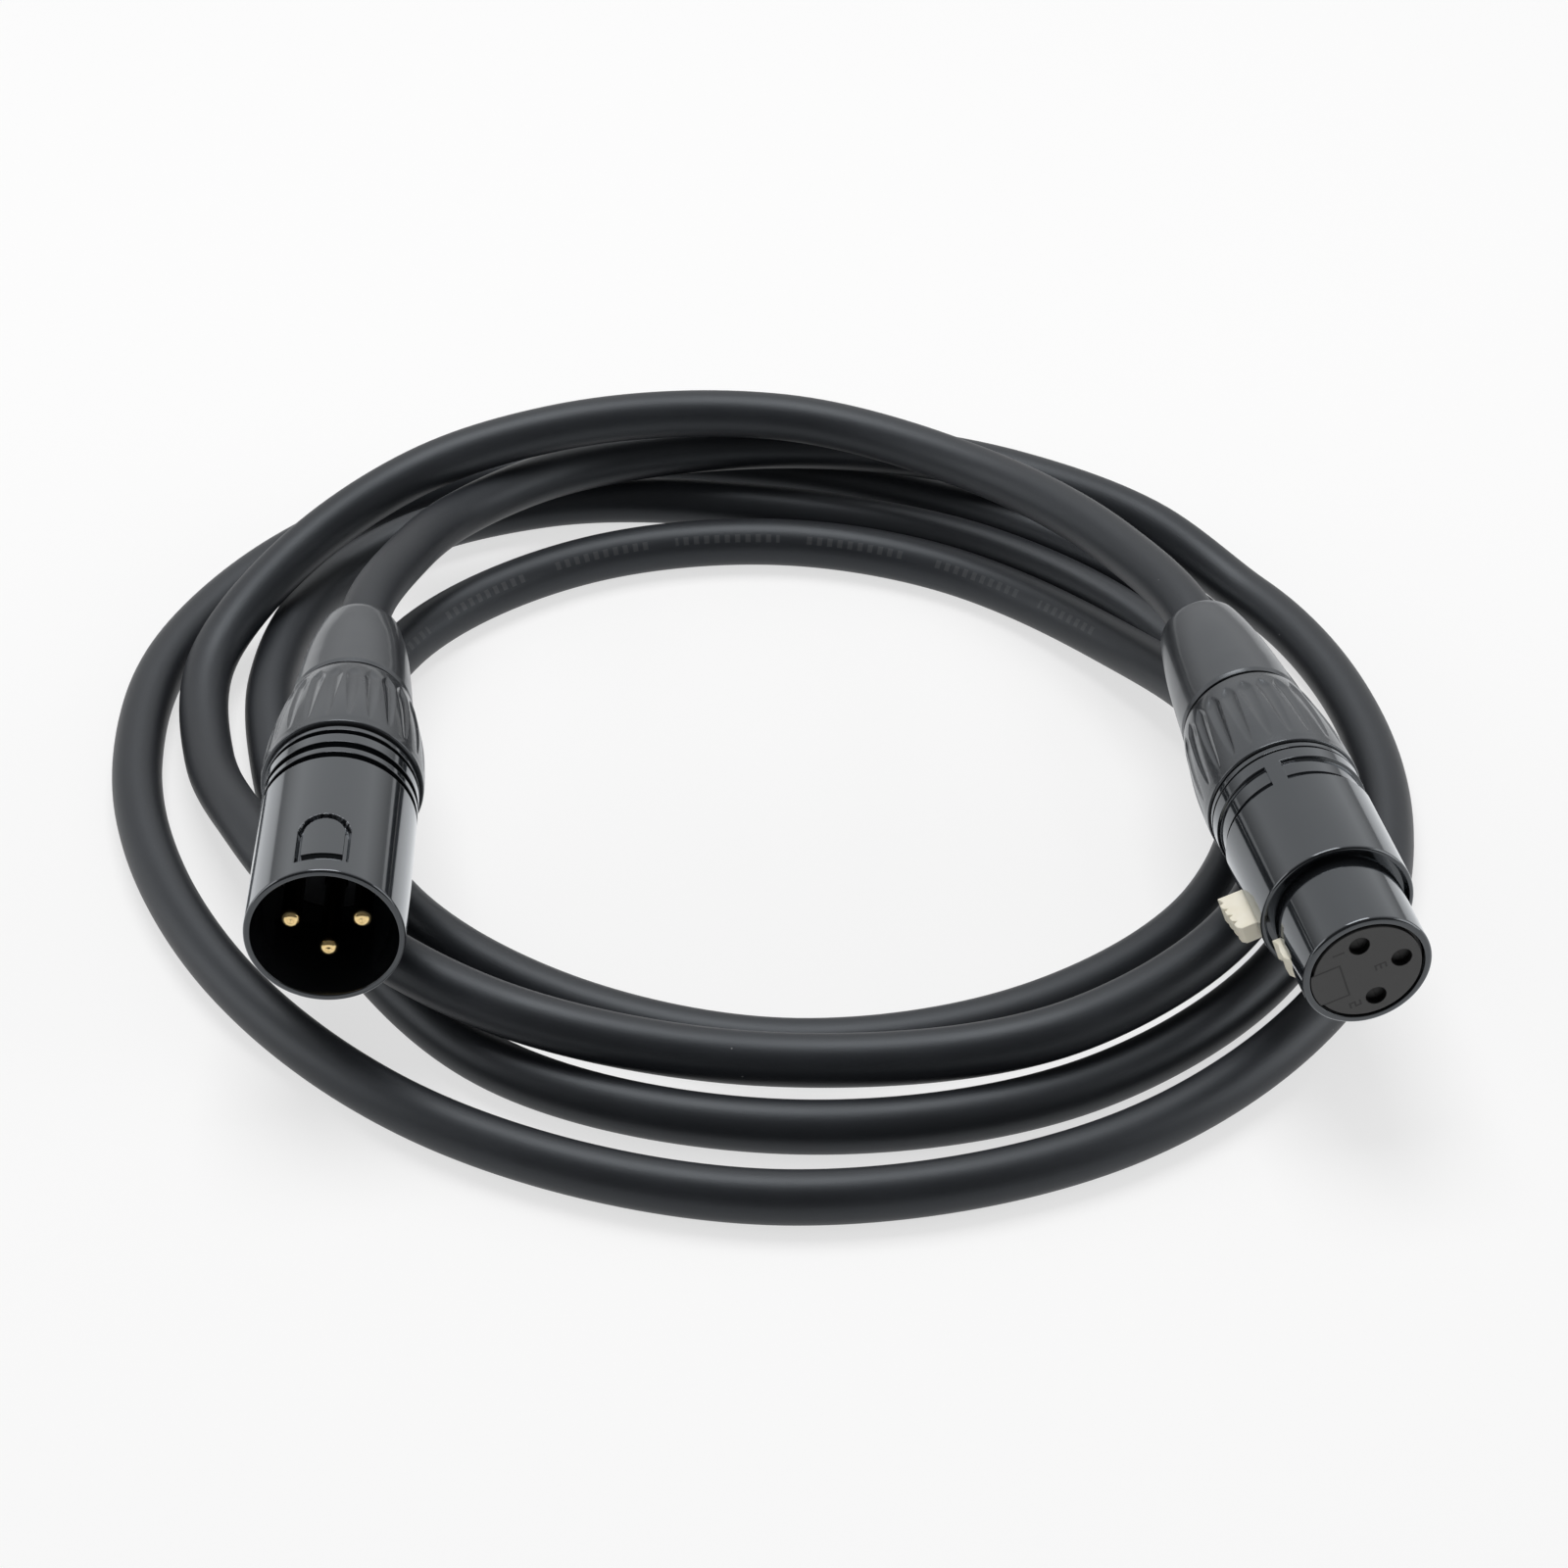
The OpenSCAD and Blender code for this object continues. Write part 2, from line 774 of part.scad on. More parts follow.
module female_boot() {
    color("#232427")
        lay_female()
            boot(female_boot_length, 7.9);
}

module female_hot_core() {
    color("#b3262b")
        lay_female() {
            core(female_boot_length, cup_rear(female_insert_rear), 180,
                core_d / 2);
            bare_end(cup_rear(female_insert_rear), 180);
        }
}

module female_cold_core() {
    color("#e8e6df")
        lay_female() {
            core(female_boot_length, cup_rear(female_insert_rear), 270,
                core_d / 2);
            bare_end(cup_rear(female_insert_rear), 270);
        }
}

module female_screen_wire() {
    color("#b87333")
        lay_female() {
            core(female_boot_length, cup_rear(female_insert_rear), 0,
                0.6 * wire_d);
            bare_end(cup_rear(female_insert_rear), 0);
        }
}

cable_jacket();
male_shell();
male_insert();
male_pin_1();
male_pin_2();
male_pin_3();
male_ground_tag();
male_chuck();
male_collar();
male_boot();
male_hot_core();
male_cold_core();
male_screen_wire();
female_shell();
female_insert();
female_socket_1();
female_socket_2();
female_socket_3();
female_ground_tag();
female_insert_screw();
female_latch();
female_latch_pin();
female_latch_spring();
female_chuck();
female_collar();
female_boot();
female_hot_core();
female_cold_core();
female_screen_wire();
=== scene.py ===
# %% [markdown]
# # A coiled microphone cable
#
# The object is a thin black cable, wound loosely four and a half times, with
# a round three-pin connector on each end. Nearly everything on it is black,
# so its form is told by gloss alone: satin rubber on the cable, slightly
# duller plastic on the strain reliefs, shiny paint on the two shells. The
# lesson builds the light and the camera first, then the cable, then each
# connector from the back to the front.

import json
import math

import bpy
import numpy as np
from mathutils import Matrix, Vector


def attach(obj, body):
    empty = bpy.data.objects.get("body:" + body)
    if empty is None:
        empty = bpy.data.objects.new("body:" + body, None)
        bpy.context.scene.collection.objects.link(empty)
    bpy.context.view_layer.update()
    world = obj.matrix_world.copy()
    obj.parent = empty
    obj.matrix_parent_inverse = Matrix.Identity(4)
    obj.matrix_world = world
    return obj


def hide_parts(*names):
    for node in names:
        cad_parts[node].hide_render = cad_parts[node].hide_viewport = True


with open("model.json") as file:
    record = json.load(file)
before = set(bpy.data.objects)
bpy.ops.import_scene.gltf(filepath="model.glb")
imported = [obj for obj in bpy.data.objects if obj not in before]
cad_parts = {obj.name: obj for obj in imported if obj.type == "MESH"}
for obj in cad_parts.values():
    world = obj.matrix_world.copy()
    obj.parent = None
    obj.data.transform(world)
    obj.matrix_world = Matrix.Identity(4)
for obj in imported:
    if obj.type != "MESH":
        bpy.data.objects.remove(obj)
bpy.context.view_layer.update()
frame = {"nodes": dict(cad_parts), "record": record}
MM = 0.001
print("nodes in the frame:", len(frame["nodes"]))

# %% [markdown]
# ## Where each connector lies
#
# A connector is easiest to draw upright: the cable enters at height 0, the
# front face is at the top, and every section is a circle round the vertical.
# It is then laid down where it rests on the coil. The frame's own mounts say
# where that is, so nothing is fitted by eye: each pin or nose has a point
# and an axis, and the rest of the connector follows from them.

# %% Laying an upright connector down
class Seat:
    """Takes points of an upright connector, in millimetres, to their place.

    A point becomes start + x * right + y * up + z * axis, where right lies
    level and up is square to it and to the axis, both turned by the roll."""

    def __init__(self, point, axis, height, roll):
        self.axis = np.array(axis, float)
        right = np.array([-self.axis[1], self.axis[0], 0.0])
        right /= np.linalg.norm(right)
        up = np.cross(self.axis, right)
        turn = math.radians(roll)
        self.right = math.cos(turn) * right + math.sin(turn) * up
        self.up = math.cos(turn) * up - math.sin(turn) * right
        self.start = np.array(point, float) - height * MM * self.axis

    def place(self, points):
        turned = np.stack([self.right, self.up, self.axis])
        return self.start + MM * np.asarray(points, float) @ turned


mounts = {m["name"]: m for m in frame["record"]["mounts"]}
MALE_PIN_MIDDLE = 54.15
FEMALE_NOSE_MIDDLE = 66.45
FEMALE_ROLL = 109

pin_pair = [mounts[f"male_pin_{i}_shaft"]["pos_m"] for i in (1, 2)]
male = Seat(np.mean(pin_pair, axis=0), mounts["male_pin_1_shaft"]["axis"],
            MALE_PIN_MIDDLE, 0)
nose_mount = mounts["female_nose"]
female = Seat(nose_mount["pos_m"], nose_mount["axis"], FEMALE_NOSE_MIDDLE, FEMALE_ROLL)
print("cable exits at", male.start.round(4), "and", female.start.round(4))

# %% [markdown]
# ## Camera
#
# A long lens from well above the table keeps the coil's ellipse calm and the
# two connectors nearly the same size. A camera looks along its own -Z with
# +Y up, so a matrix built from its right, up and back directions aims it
# exactly, with no tracking constraint.

# %% Aim the camera
CAMERA_TILT = math.radians(38)
CAMERA_PLACE = (0.0035, -0.4261, 0.337)
CAMERA_LENS = 95.8

camera = bpy.data.objects.new("camera", bpy.data.cameras.new("camera"))
bpy.context.scene.collection.objects.link(camera)
right = Vector((1, 0, 0))
forward = Vector((0, math.cos(CAMERA_TILT), -math.sin(CAMERA_TILT)))
aim = Matrix((right, right.cross(forward), -forward)).transposed()
camera.matrix_world = Matrix.Translation(CAMERA_PLACE) @ aim.to_4x4()
camera.data.lens = CAMERA_LENS
camera.data.sensor_width = 36
camera.data.clip_start = 0.01
bpy.context.scene.camera = camera
print("camera", round(math.degrees(CAMERA_TILT)), "degrees above the table")

# %% [markdown]
# ## Shader maths in Python
#
# A procedural finish is mostly arithmetic on coordinates. Wiring Math nodes
# by hand hides the formula, so a small class wraps one socket and lets
# Python's own operators add the nodes. One more method adds any other node:
# it takes the node's type, its settings, and the values or links of its
# sockets.

# %% Wires and finishes
class Wire:
    """One output socket. Arithmetic on a wire adds Math nodes to its tree."""

    def __init__(self, finish, socket):
        self.finish = finish
        self.socket = socket

    def out(self, name):
        return Wire(self.finish, self.socket.node.outputs[name])

    def math(self, operation, *values):
        inputs = dict(enumerate((self, *values)))
        return self.finish.node("ShaderNodeMath", {"operation": operation}, inputs)

    def __add__(self, other):
        return self.math("ADD", other)

    def __sub__(self, other):
        return self.math("SUBTRACT", other)

    def __mul__(self, other):
        return self.math("MULTIPLY", other)

    def __rsub__(self, other):
        return self.finish.node("ShaderNodeMath", {"operation": "SUBTRACT"}, {0: other, 1: self})

    def __lt__(self, other):
        return self.math("LESS_THAN", other)

    def __gt__(self, other):
        return self.math("GREATER_THAN", other)


class Finish:
    """A material whose node tree is built by calls."""

    def __init__(self, name, tree=None):
        if tree is None:
            self.material = bpy.data.materials.new(name)
            self.material.use_nodes = True
            tree = self.material.node_tree
        self.tree = tree
        tree.nodes.clear()

    def node(self, kind, settings=None, inputs=None):
        made = self.tree.nodes.new(kind)
        for name, value in (settings or {}).items():
            if name == "stops":
                self._set_stops(made.color_ramp, value)
            else:
                setattr(made, name, value)
        for key, value in (inputs or {}).items():
            if isinstance(value, Wire):
                self.tree.links.new(value.socket, made.inputs[key])
            else:
                made.inputs[key].default_value = value
        return Wire(self, made.outputs[0]) if made.outputs else None

    @staticmethod
    def _set_stops(ramp, stops):
        while len(ramp.elements) < len(stops):
            ramp.elements.new(0.5)
        for element, (place, shade) in zip(ramp.elements, stops):
            element.position = place
            element.color = (*shade, 1)

    def noise(self, scale, detail=2.0, roughness=0.5, where=None):
        """Fractal noise from 0 to 1. A scale of 1000 has features about 1 mm wide."""
        place = where or self.node("ShaderNodeTexCoord").out("Object")
        inputs = {"Vector": place, "Scale": scale, "Detail": detail, "Roughness": roughness}
        return self.node("ShaderNodeTexNoise", {"noise_dimensions": "3D"}, inputs)

    def ramp(self, factor, *stops):
        """A colour that runs through the stops, each a place and a colour."""
        return self.node("ShaderNodeValToRGB", {"stops": stops}, {"Fac": factor})

    def level(self, factor, low, high):
        """A number that runs from low to high as the factor goes from 0 to 1."""
        return factor * (high - low) + low

    def mix(self, factor, first, second):
        """The first colour where the factor is 0, the second where it is 1."""
        made = self.node("ShaderNodeMix", {"data_type": "RGBA"}, {0: factor, 6: first, 7: second})
        return Wire(self, made.socket.node.outputs[2])

    def bump(self, height, distance, strength=1.0):
        inputs = {"Height": height, "Distance": distance, "Strength": strength}
        return self.node("ShaderNodeBump", None, inputs)

    def surface(self, **inputs):
        """Ends the material in a Principled surface with these inputs."""
        named = {key.replace("_", " "): value for key, value in inputs.items()}
        shader = self.node("ShaderNodeBsdfPrincipled", None, named)
        self.node("ShaderNodeOutputMaterial", None, {"Surface": shader})
        return self.material


COOL = (0.88, 0.94, 1.0, 1)


def grey(value):
    return (value, value, value, 1)


print("shader helpers ready")

# %% [markdown]
# ## Floor and light
#
# Black gloss shows nothing but what stands round it, so the studio is the
# picture: three soft lamps at a plain level, a floor and a surround. The
# floor glows in part for camera, mirror and transmission rays, so it is white
# in view, and still dims a little where the cable's shadow lies on it. The
# surround is white for camera and transmission rays only. Mirror rays meet
# one that fades towards the viewer's side and the horizon, so gloss and metal
# show a darker background than the camera does. Adding Is Glossy Ray to its
# sum makes the two the same.

# %% Pale floor
FLOOR_SIZE = 3.0
FLOOR_GLOW = 0.66

floor_finish = Finish("floor_paper")
rays = floor_finish.node("ShaderNodeLightPath")
seen = rays.out("Is Camera Ray") + rays.out("Is Glossy Ray") + rays.out("Is Transmission Ray")
paper = floor_finish.node("ShaderNodeBsdfDiffuse", None, {"Color": grey(0.95)})
glow = floor_finish.node("ShaderNodeEmission", None, {"Color": grey(1.0), "Strength": 1.0})
mixed = floor_finish.node("ShaderNodeMixShader", None,
                          {0: seen.math("MINIMUM", 1.0) * FLOOR_GLOW, 1: paper, 2: glow})
floor_finish.node("ShaderNodeOutputMaterial", None, {"Surface": mixed})

bpy.ops.mesh.primitive_plane_add(size=FLOOR_SIZE)
floor = bpy.context.object
floor.name = "floor"
floor.data.materials.append(floor_finish.material)
print("floor", FLOOR_SIZE, "m square")

# %% Surround and soft lamps
scene = bpy.context.scene
scene.view_settings.view_transform = "Standard"
scene.world = bpy.data.worlds.new("surround")
scene.world.use_nodes = True
surround = Finish("surround", scene.world.node_tree)
rays = surround.node("ShaderNodeLightPath")
WORLD_LEVEL = 0.3
DARK_SIDE = 0.12
SIDE_FROM, SIDE_TO = -0.3, 0.35
LOW_LEVEL = 0.35
LOW_FROM, LOW_TO = 0.02, 0.3
seen = (rays.out("Is Camera Ray") + rays.out("Is Transmission Ray")).math("MINIMUM", 1.0)
direction = surround.node("ShaderNodeTexCoord").out("Generated")
split = surround.node("ShaderNodeSeparateXYZ", None, {0: direction})
behind = surround.node("ShaderNodeMapRange", None,
                       {"Value": split.out("Y"), 1: SIDE_FROM, 2: SIDE_TO, 3: DARK_SIDE, 4: 1.0})
above = surround.node("ShaderNodeMapRange", None,
                      {"Value": split.out("Z"), 1: LOW_FROM, 2: LOW_TO, 3: LOW_LEVEL, 4: 1.0})
mirrored = behind * above
level = seen + (1 - seen) * (rays.out("Is Glossy Ray") * (mirrored - WORLD_LEVEL) + WORLD_LEVEL)
backdrop = surround.node("ShaderNodeBackground", None, {"Color": grey(1.0), "Strength": level})
surround.node("ShaderNodeOutputWorld", None, {"Surface": backdrop})


def soft_lamp(name, place, target, size, watts):
    """An area lamp at place, facing target, of the given width and height."""
    lamp = bpy.data.lights.new(name, "AREA")
    lamp.shape = "RECTANGLE"
    lamp.size, lamp.size_y = size
    lamp.energy = watts
    holder = bpy.data.objects.new(name, lamp)
    scene.collection.objects.link(holder)
    holder.location = place
    holder.rotation_euler = (Vector(target) - Vector(place)).to_track_quat("-Z", "Y").to_euler()
    return holder


soft_lamp("top_lamp", (-0.05, 0.22, 0.72), (0, 0.02, 0), (0.42, 0.42), 3.2)
soft_lamp("left_panel", (-0.75, -0.05, 0.22), (0, 0, 0.02), (0.5, 0.5), 1.6)
soft_lamp("right_panel", (0.75, -0.05, 0.22), (0, 0, 0.02), (0.5, 0.5), 1.9)
print("three soft lamps and a surround")

# %% [markdown]
# ## The cable's route
#
# The cable is one piece of rubber hose with wires in it, 6.5 mm thick. It
# can't stretch and hardly bends on itself, so its looks depend on a smooth
# line of the right length. The line is kept as stops on a clock face: hour,
# distance from the middle and height. A cubic runs between each pair of
# stops, with slopes taken from the parabola through three neighbours, so
# uneven spacing gives no kinks. A Blender curve could do this too, but the
# print on the jacket later needs to know how far along the cable it is.

# %% Stops on a clock face
CABLE_D = 0.0065
REST = 0.0026
RINGS_A_MM = 0.6
CABLE_SIDES = 32
LIFT = CABLE_D / 2 - REST
JACKET_IN = 8
MALE_BOOT = 18
FEMALE_BOOT = 19.9

ROUTE = [
    (10, .0585, .0155), (10.5, .063, .0118), (11, .0655, .01), (12, .065, .0096),
    (13, .0665, .0095), (13.5, .0715, .0064), (14, .0745, REST), (15, .0775, REST),
    (16, .081, REST), (17, .082, REST), (18, .0815, REST), (19, .08, REST),
    (20, .0805, REST), (21, .0845, REST), (21.5, .0862, REST),
    (22, .085, REST), (23, .079, REST), (24, .069, REST), (25, .0642, REST),
    (26, .0655, REST), (27, .069, REST), (28, .073, REST), (29, .072, REST),
    (30, .0695, REST), (31, .068, REST), (32, .064, REST), (33, .0665, REST),
    (33.5, .071, REST),
    (34, .0745, REST), (34.5, .074, REST), (35, .0695, REST), (36, .059, REST),
    (37, .0568, REST), (38, .058, REST), (39, .0605, REST), (40, .06, REST),
    (41, .057, REST), (42, .055, REST), (43, .054, REST), (44, .056, REST),
    (45, .058, REST), (46, .0575, REST), (47, .054, REST), (48, .051, REST),
    (49, .0498, REST), (50, .0505, .0044), (51, .057, .0095), (52, .068, .0095),
    (53, .068, .0088), (54, .062, .0064), (55, .0655, .0094), (56, .0685, .0092),
    (56.5, .0705, .007), (57, .075, .0038), (57.5, .0792, .005),
    (58, .0755, .011), (58.5, .0695, .0164), (59, .0655, .0177),
    (60, .0615, .0166), (61, .0545, .017), (62, .051, .02)]
COIL_MIDDLE = np.array([0.0034983, 0.00517133, 0])

hours, reach, height = np.array(ROUTE).T
angle = np.radians(30 * hours)
stops = np.stack([reach * np.sin(angle), reach * np.cos(angle), height], axis=1)
stops = np.vstack([male.start, stops + COIL_MIDDLE, female.start])
print(len(stops), "stops")

# %% A smooth line through stops
def smooth_line(points, first, final, per_unit, level=None):
    """Cubics through the points, whose slope at a point is the parabola's
    through it and its two neighbours: each chord's direction is weighted by
    the other chord's share of the length. The ends have the slopes given.
    per_unit is how many points the line gets for each unit of its length,
    and where level is true the slope has no height in it."""
    chord = np.diff(points, axis=0)
    size = np.linalg.norm(chord, axis=1)
    before, after = size[:-1, None], size[1:, None]
    inner = (chord[1:] * before / after + chord[:-1] * after / before) / (before + after)
    slope = np.vstack([first, inner, final])
    if level is not None:
        slope[level, 2] = 0
    pieces = []
    for i, length in enumerate(size):
        u = np.linspace(0, 1, max(2, round(length * per_unit)), endpoint=False)[:, None]
        pieces.append((2 * u**3 - 3 * u**2 + 1) * points[i] + (3 * u**2 - 2 * u**3) * points[i + 1]
                      + (u**3 - 2 * u**2 + u) * length * slope[i]
                      + (u**3 - u**2) * length * slope[i + 1])
    return np.vstack([*pieces, points[-1:]])


free_line = smooth_line(stops, -male.axis, female.axis, RINGS_A_MM / MM, stops[:, 2] == REST)
straight = np.linspace(0, 1, 14)[1:, None]
male_end = male.start + straight * (MALE_BOOT + JACKET_IN) * MM * male.axis
female_end = female.start + straight * (FEMALE_BOOT + JACKET_IN) * MM * female.axis
travel = np.concatenate([[0], np.cumsum(np.linalg.norm(np.diff(free_line, axis=0), axis=1))])
near_exit = np.minimum(travel, travel[-1] - travel)
rise = np.clip(near_exit / 0.035, 0, 1)
free_line[:, 2] += LIFT * rise * rise * (3 - 2 * rise)
centres = np.vstack([male_end[::-1], free_line, female_end])
run = np.concatenate([[0], np.cumsum(np.linalg.norm(np.diff(centres, axis=0), axis=1))])
print("cable", round(travel[-1], 3), "m between exits,", round(run[-1], 3), "m with its ends")

# %% [markdown]
# ## From numbers to a mesh
#
# Most pieces here are a grid of points bent into shape: rows along the
# piece, columns round it. One helper joins the grid into quads, another
# turns arrays into a piece that faces outwards, has a finish, and rides on
# its body of the frame. The map that goes with it, round the piece and along
# it, carries patterns that follow the surface.

# %% Grid and piece helpers
def grid_faces(rows, columns, close_rows):
    """Quads of a grid that closes round its columns, and if asked its rows."""
    i, j = np.meshgrid(np.arange(rows if close_rows else rows - 1), np.arange(columns),
                       indexing="ij")
    i, j = i.ravel(), j.ravel()
    up, over = (i + 1) % rows, (j + 1) % columns
    quads = np.stack([i * columns + j, i * columns + over, up * columns + over,
                      up * columns + j], axis=1)
    corners = np.stack([j, i, j + 1, i, j + 1, i + 1, j, i + 1], axis=1)
    return quads, corners.reshape(-1, 4, 2).astype(float)


def faces_outwards(points, faces):
    """True if the tetrahedra from the origin to each face add up above zero."""
    total = 0.0
    for face in faces:
        fan = points[list(face)]
        total += np.einsum("ij,ij->", np.cross(fan[1:-1], fan[2:]), np.broadcast_to(
            fan[0], (len(face) - 2, 3)))
    return total > 0


def quads_outwards(points, quads):
    """The same test for an array of quads, in one step."""
    a, b, c, d = (points[quads[:, k]] for k in range(4))
    return np.einsum("ij,ij->", a, np.cross(b, c) + np.cross(c, d)) > 0


def piece(name, points, faces, maps=None, sharp=180):
    """A mesh object from arrays, with smooth shading but for edges sharper
    than the given angle."""
    mesh = bpy.data.meshes.new(name)
    mesh.from_pydata(np.asarray(points).tolist(), [], [list(map(int, f)) for f in faces])
    mesh.shade_smooth()
    if maps is not None:
        layer = mesh.uv_layers.new(name="surface")
        layer.data.foreach_set("uv", maps.reshape(-1).astype(np.float32))
    if sharp < 180:
        mesh.set_sharp_from_angle(angle=math.radians(sharp))
    obj = bpy.data.objects.new(f"{name}_finished", mesh)
    scene.collection.objects.link(obj)
    return obj


def dress(obj, finish, body, replaced):
    """Gives a piece its finish and its body, and hides the nodes it stands for."""
    obj.data.materials.clear()
    obj.data.materials.append(finish)
    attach(obj, body)
    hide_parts(*replaced)
    print(obj.name, len(obj.data.polygons), "faces")
    return obj


def end_caps(first, last):
    """Two n-sided caps for the first and last ring of a tube."""
    return [list(first[::-1]), list(last)]


print("mesh helpers ready")

# %% The cable as a tube along its line
def tube(name, line, radius, sides):
    """A ring of points round each point of the line: the line's direction,
    a level side vector and their cross product span the ring. The map is
    the share of a turn and the length along the line in metres."""
    way = np.gradient(line, axis=0)
    way /= np.linalg.norm(way, axis=1, keepdims=True)
    side = np.cross(way, [0, 0, 1])
    side /= np.linalg.norm(side, axis=1, keepdims=True)
    above = np.cross(side, way)
    turn = np.linspace(0, 2 * np.pi, sides, endpoint=False)
    rings = line[:, None] + radius * (np.cos(turn)[None, :, None] * side[:, None]
                                      + np.sin(turn)[None, :, None] * above[:, None])
    points = rings.reshape(-1, 3)
    quads, maps = grid_faces(len(line), sides, False)
    along = np.concatenate([[0], np.cumsum(np.linalg.norm(np.diff(line, axis=0), axis=1))])
    maps[..., 0] /= sides
    maps[..., 1] = along[maps[..., 1].astype(int)]
    faces = quads.tolist()
    if not quads_outwards(points, quads):
        faces = [face[::-1] for face in faces]
        maps = maps[:, ::-1]
    count = len(points)
    caps = end_caps(np.arange(sides)[::-1], np.arange(count - sides, count)[::-1])
    flat = np.concatenate([maps.reshape(-1, 2), np.zeros((2 * sides, 2))])
    return piece(name, points, faces + caps, flat)


cable = tube("cable", centres, CABLE_D / 2, CABLE_SIDES)

# %% [markdown]
# ## Satin rubber
#
# The jacket is soft black plastic, drawn through a die and handled since.
# Close up it is a very fine grain, which spreads the light into a broad soft
# sheen, with faint long marks where it has rubbed. The grain is noise on
# object coordinates and the marks follow the cable's own map. A few specks
# of lint lighten it, as they do on any black cable, and a faint row of plain
# ticks is printed along one stretch.

# %% Cable finish
PRINT_TURN = 0.12
PRINT_HALF_TURN = 0.028
PRINT_STRENGTH = 0.07
TICK = 0.0015
WORD = 0.019


def how_far(hour):
    """Metres along the cable from its male end to an hour of the clock."""
    place = stops[1 + hours.tolist().index(hour)]
    return run[np.argmin(np.linalg.norm(centres - place, axis=1))]


def cable_sheath(print_from, print_to):
    f = Finish("cable_sheath")
    where = f.node("ShaderNodeTexCoord")
    around = f.node("ShaderNodeSeparateXYZ", None, {0: where.out("UV")})
    grain = f.noise(9000, 3)
    cloud = f.noise(60, 3, 0.6)
    stretched = f.node("ShaderNodeMapping", None,
                       {"Vector": where.out("UV"), "Scale": (9, 90, 1)})
    rubbed = f.noise(6, 4, 0.6, stretched)
    lint = f.node("ShaderNodeTexVoronoi", {"feature": "F1"},
                  {"Vector": where.out("Object"), "Scale": 260.0})
    speck = (lint < 0.028) * (f.noise(170, 0) > 0.6)
    shade = f.ramp(cloud + rubbed * 0.4 - 0.2,
                   (0.35, (0.010, 0.011, 0.0135)), (0.75, (0.015, 0.0165, 0.020)))
    v = around.out("Y")
    in_word = (v.math("MODULO", WORD) > 0.2 * WORD) * (v.math("MODULO", TICK) < 0.5 * TICK)
    on_line = ((around - PRINT_TURN).math("ABSOLUTE") < PRINT_HALF_TURN)
    printed = on_line * in_word * (v > print_from) * (v < print_to)
    marks = (speck * 0.5).math("MAXIMUM", printed * PRINT_STRENGTH)
    colour = f.mix(marks, shade, grey(0.35))
    rough = f.level(cloud, 0.38, 0.48) + grain * 0.06
    height = grain * 0.5 + rubbed * 0.5
    return f.surface(Base_Color=colour, Roughness=rough, Specular_Tint=COOL,
                     Normal=f.bump(height, 0.00004, 0.5), Specular_IOR_Level=0.5)


dress(cable, cable_sheath(how_far(45), how_far(50)), "coil", ["cable_jacket"])

# %% [markdown]
# ## Turned pieces
#
# Boots, collars, shells and pins are all bodies of revolution, turned or
# moulded round. Spinning an outline by hand is the usual way. Here the
# outline is a list of corners, each with its rounding, which becomes a row
# of points; the surface is that row carried round the axis. A relief
# function may then lower the outside, which is how flutes and sunk slots are
# cut without a single boolean.

# %% Rounded outlines
ARC_STEPS = 6


def outline(corners, step=None):
    """A closed outline from corners (height, radius, rounding). A rounded
    corner becomes an arc that touches both of its edges. Next to each arc a
    straight edge gets a point of its own, which keeps the shading level."""
    place = np.array([c[:2] for c in corners], float)
    rounding = [c[2] if len(c) > 2 else 0 for c in corners]
    row = []
    count = len(place)
    for k in range(count):
        to_last = place[k - 1] - place[k]
        to_next = place[(k + 1) % count] - place[k]
        if rounding[k] == 0:
            row.append(place[k])
            continue
        back, ahead = to_last / np.linalg.norm(to_last), to_next / np.linalg.norm(to_next)
        half = math.acos(np.clip(back @ ahead, -1, 1)) / 2
        run_off = rounding[k] / math.tan(half)
        middle = (back + ahead) / np.linalg.norm(back + ahead)
        centre = place[k] + middle * rounding[k] / math.sin(half)
        start = place[k] + back * run_off - centre
        stop = place[k] + ahead * run_off - centre
        sweep = math.atan2(start[0] * stop[1] - start[1] * stop[0], start @ stop)
        guard = min(0.12, rounding[k] * 0.6)
        row.append(place[k] + back * (run_off + guard))
        for t in np.linspace(0, sweep, ARC_STEPS):
            c, s = math.cos(t), math.sin(t)
            row.append(centre + np.array([c * start[0] - s * start[1],
                                          s * start[0] + c * start[1]]))
        row.append(place[k] + ahead * (run_off + guard))
    row = np.array(row)
    if step is None:
        return row
    filled = []
    for a, b in zip(row, np.roll(row, -1, axis=0)):
        n = max(1, math.ceil(np.linalg.norm(b - a) / step))
        filled.append(a + (b - a) * np.linspace(0, 1, n, endpoint=False)[:, None])
    return np.vstack(filled)


print("outline helper ready")

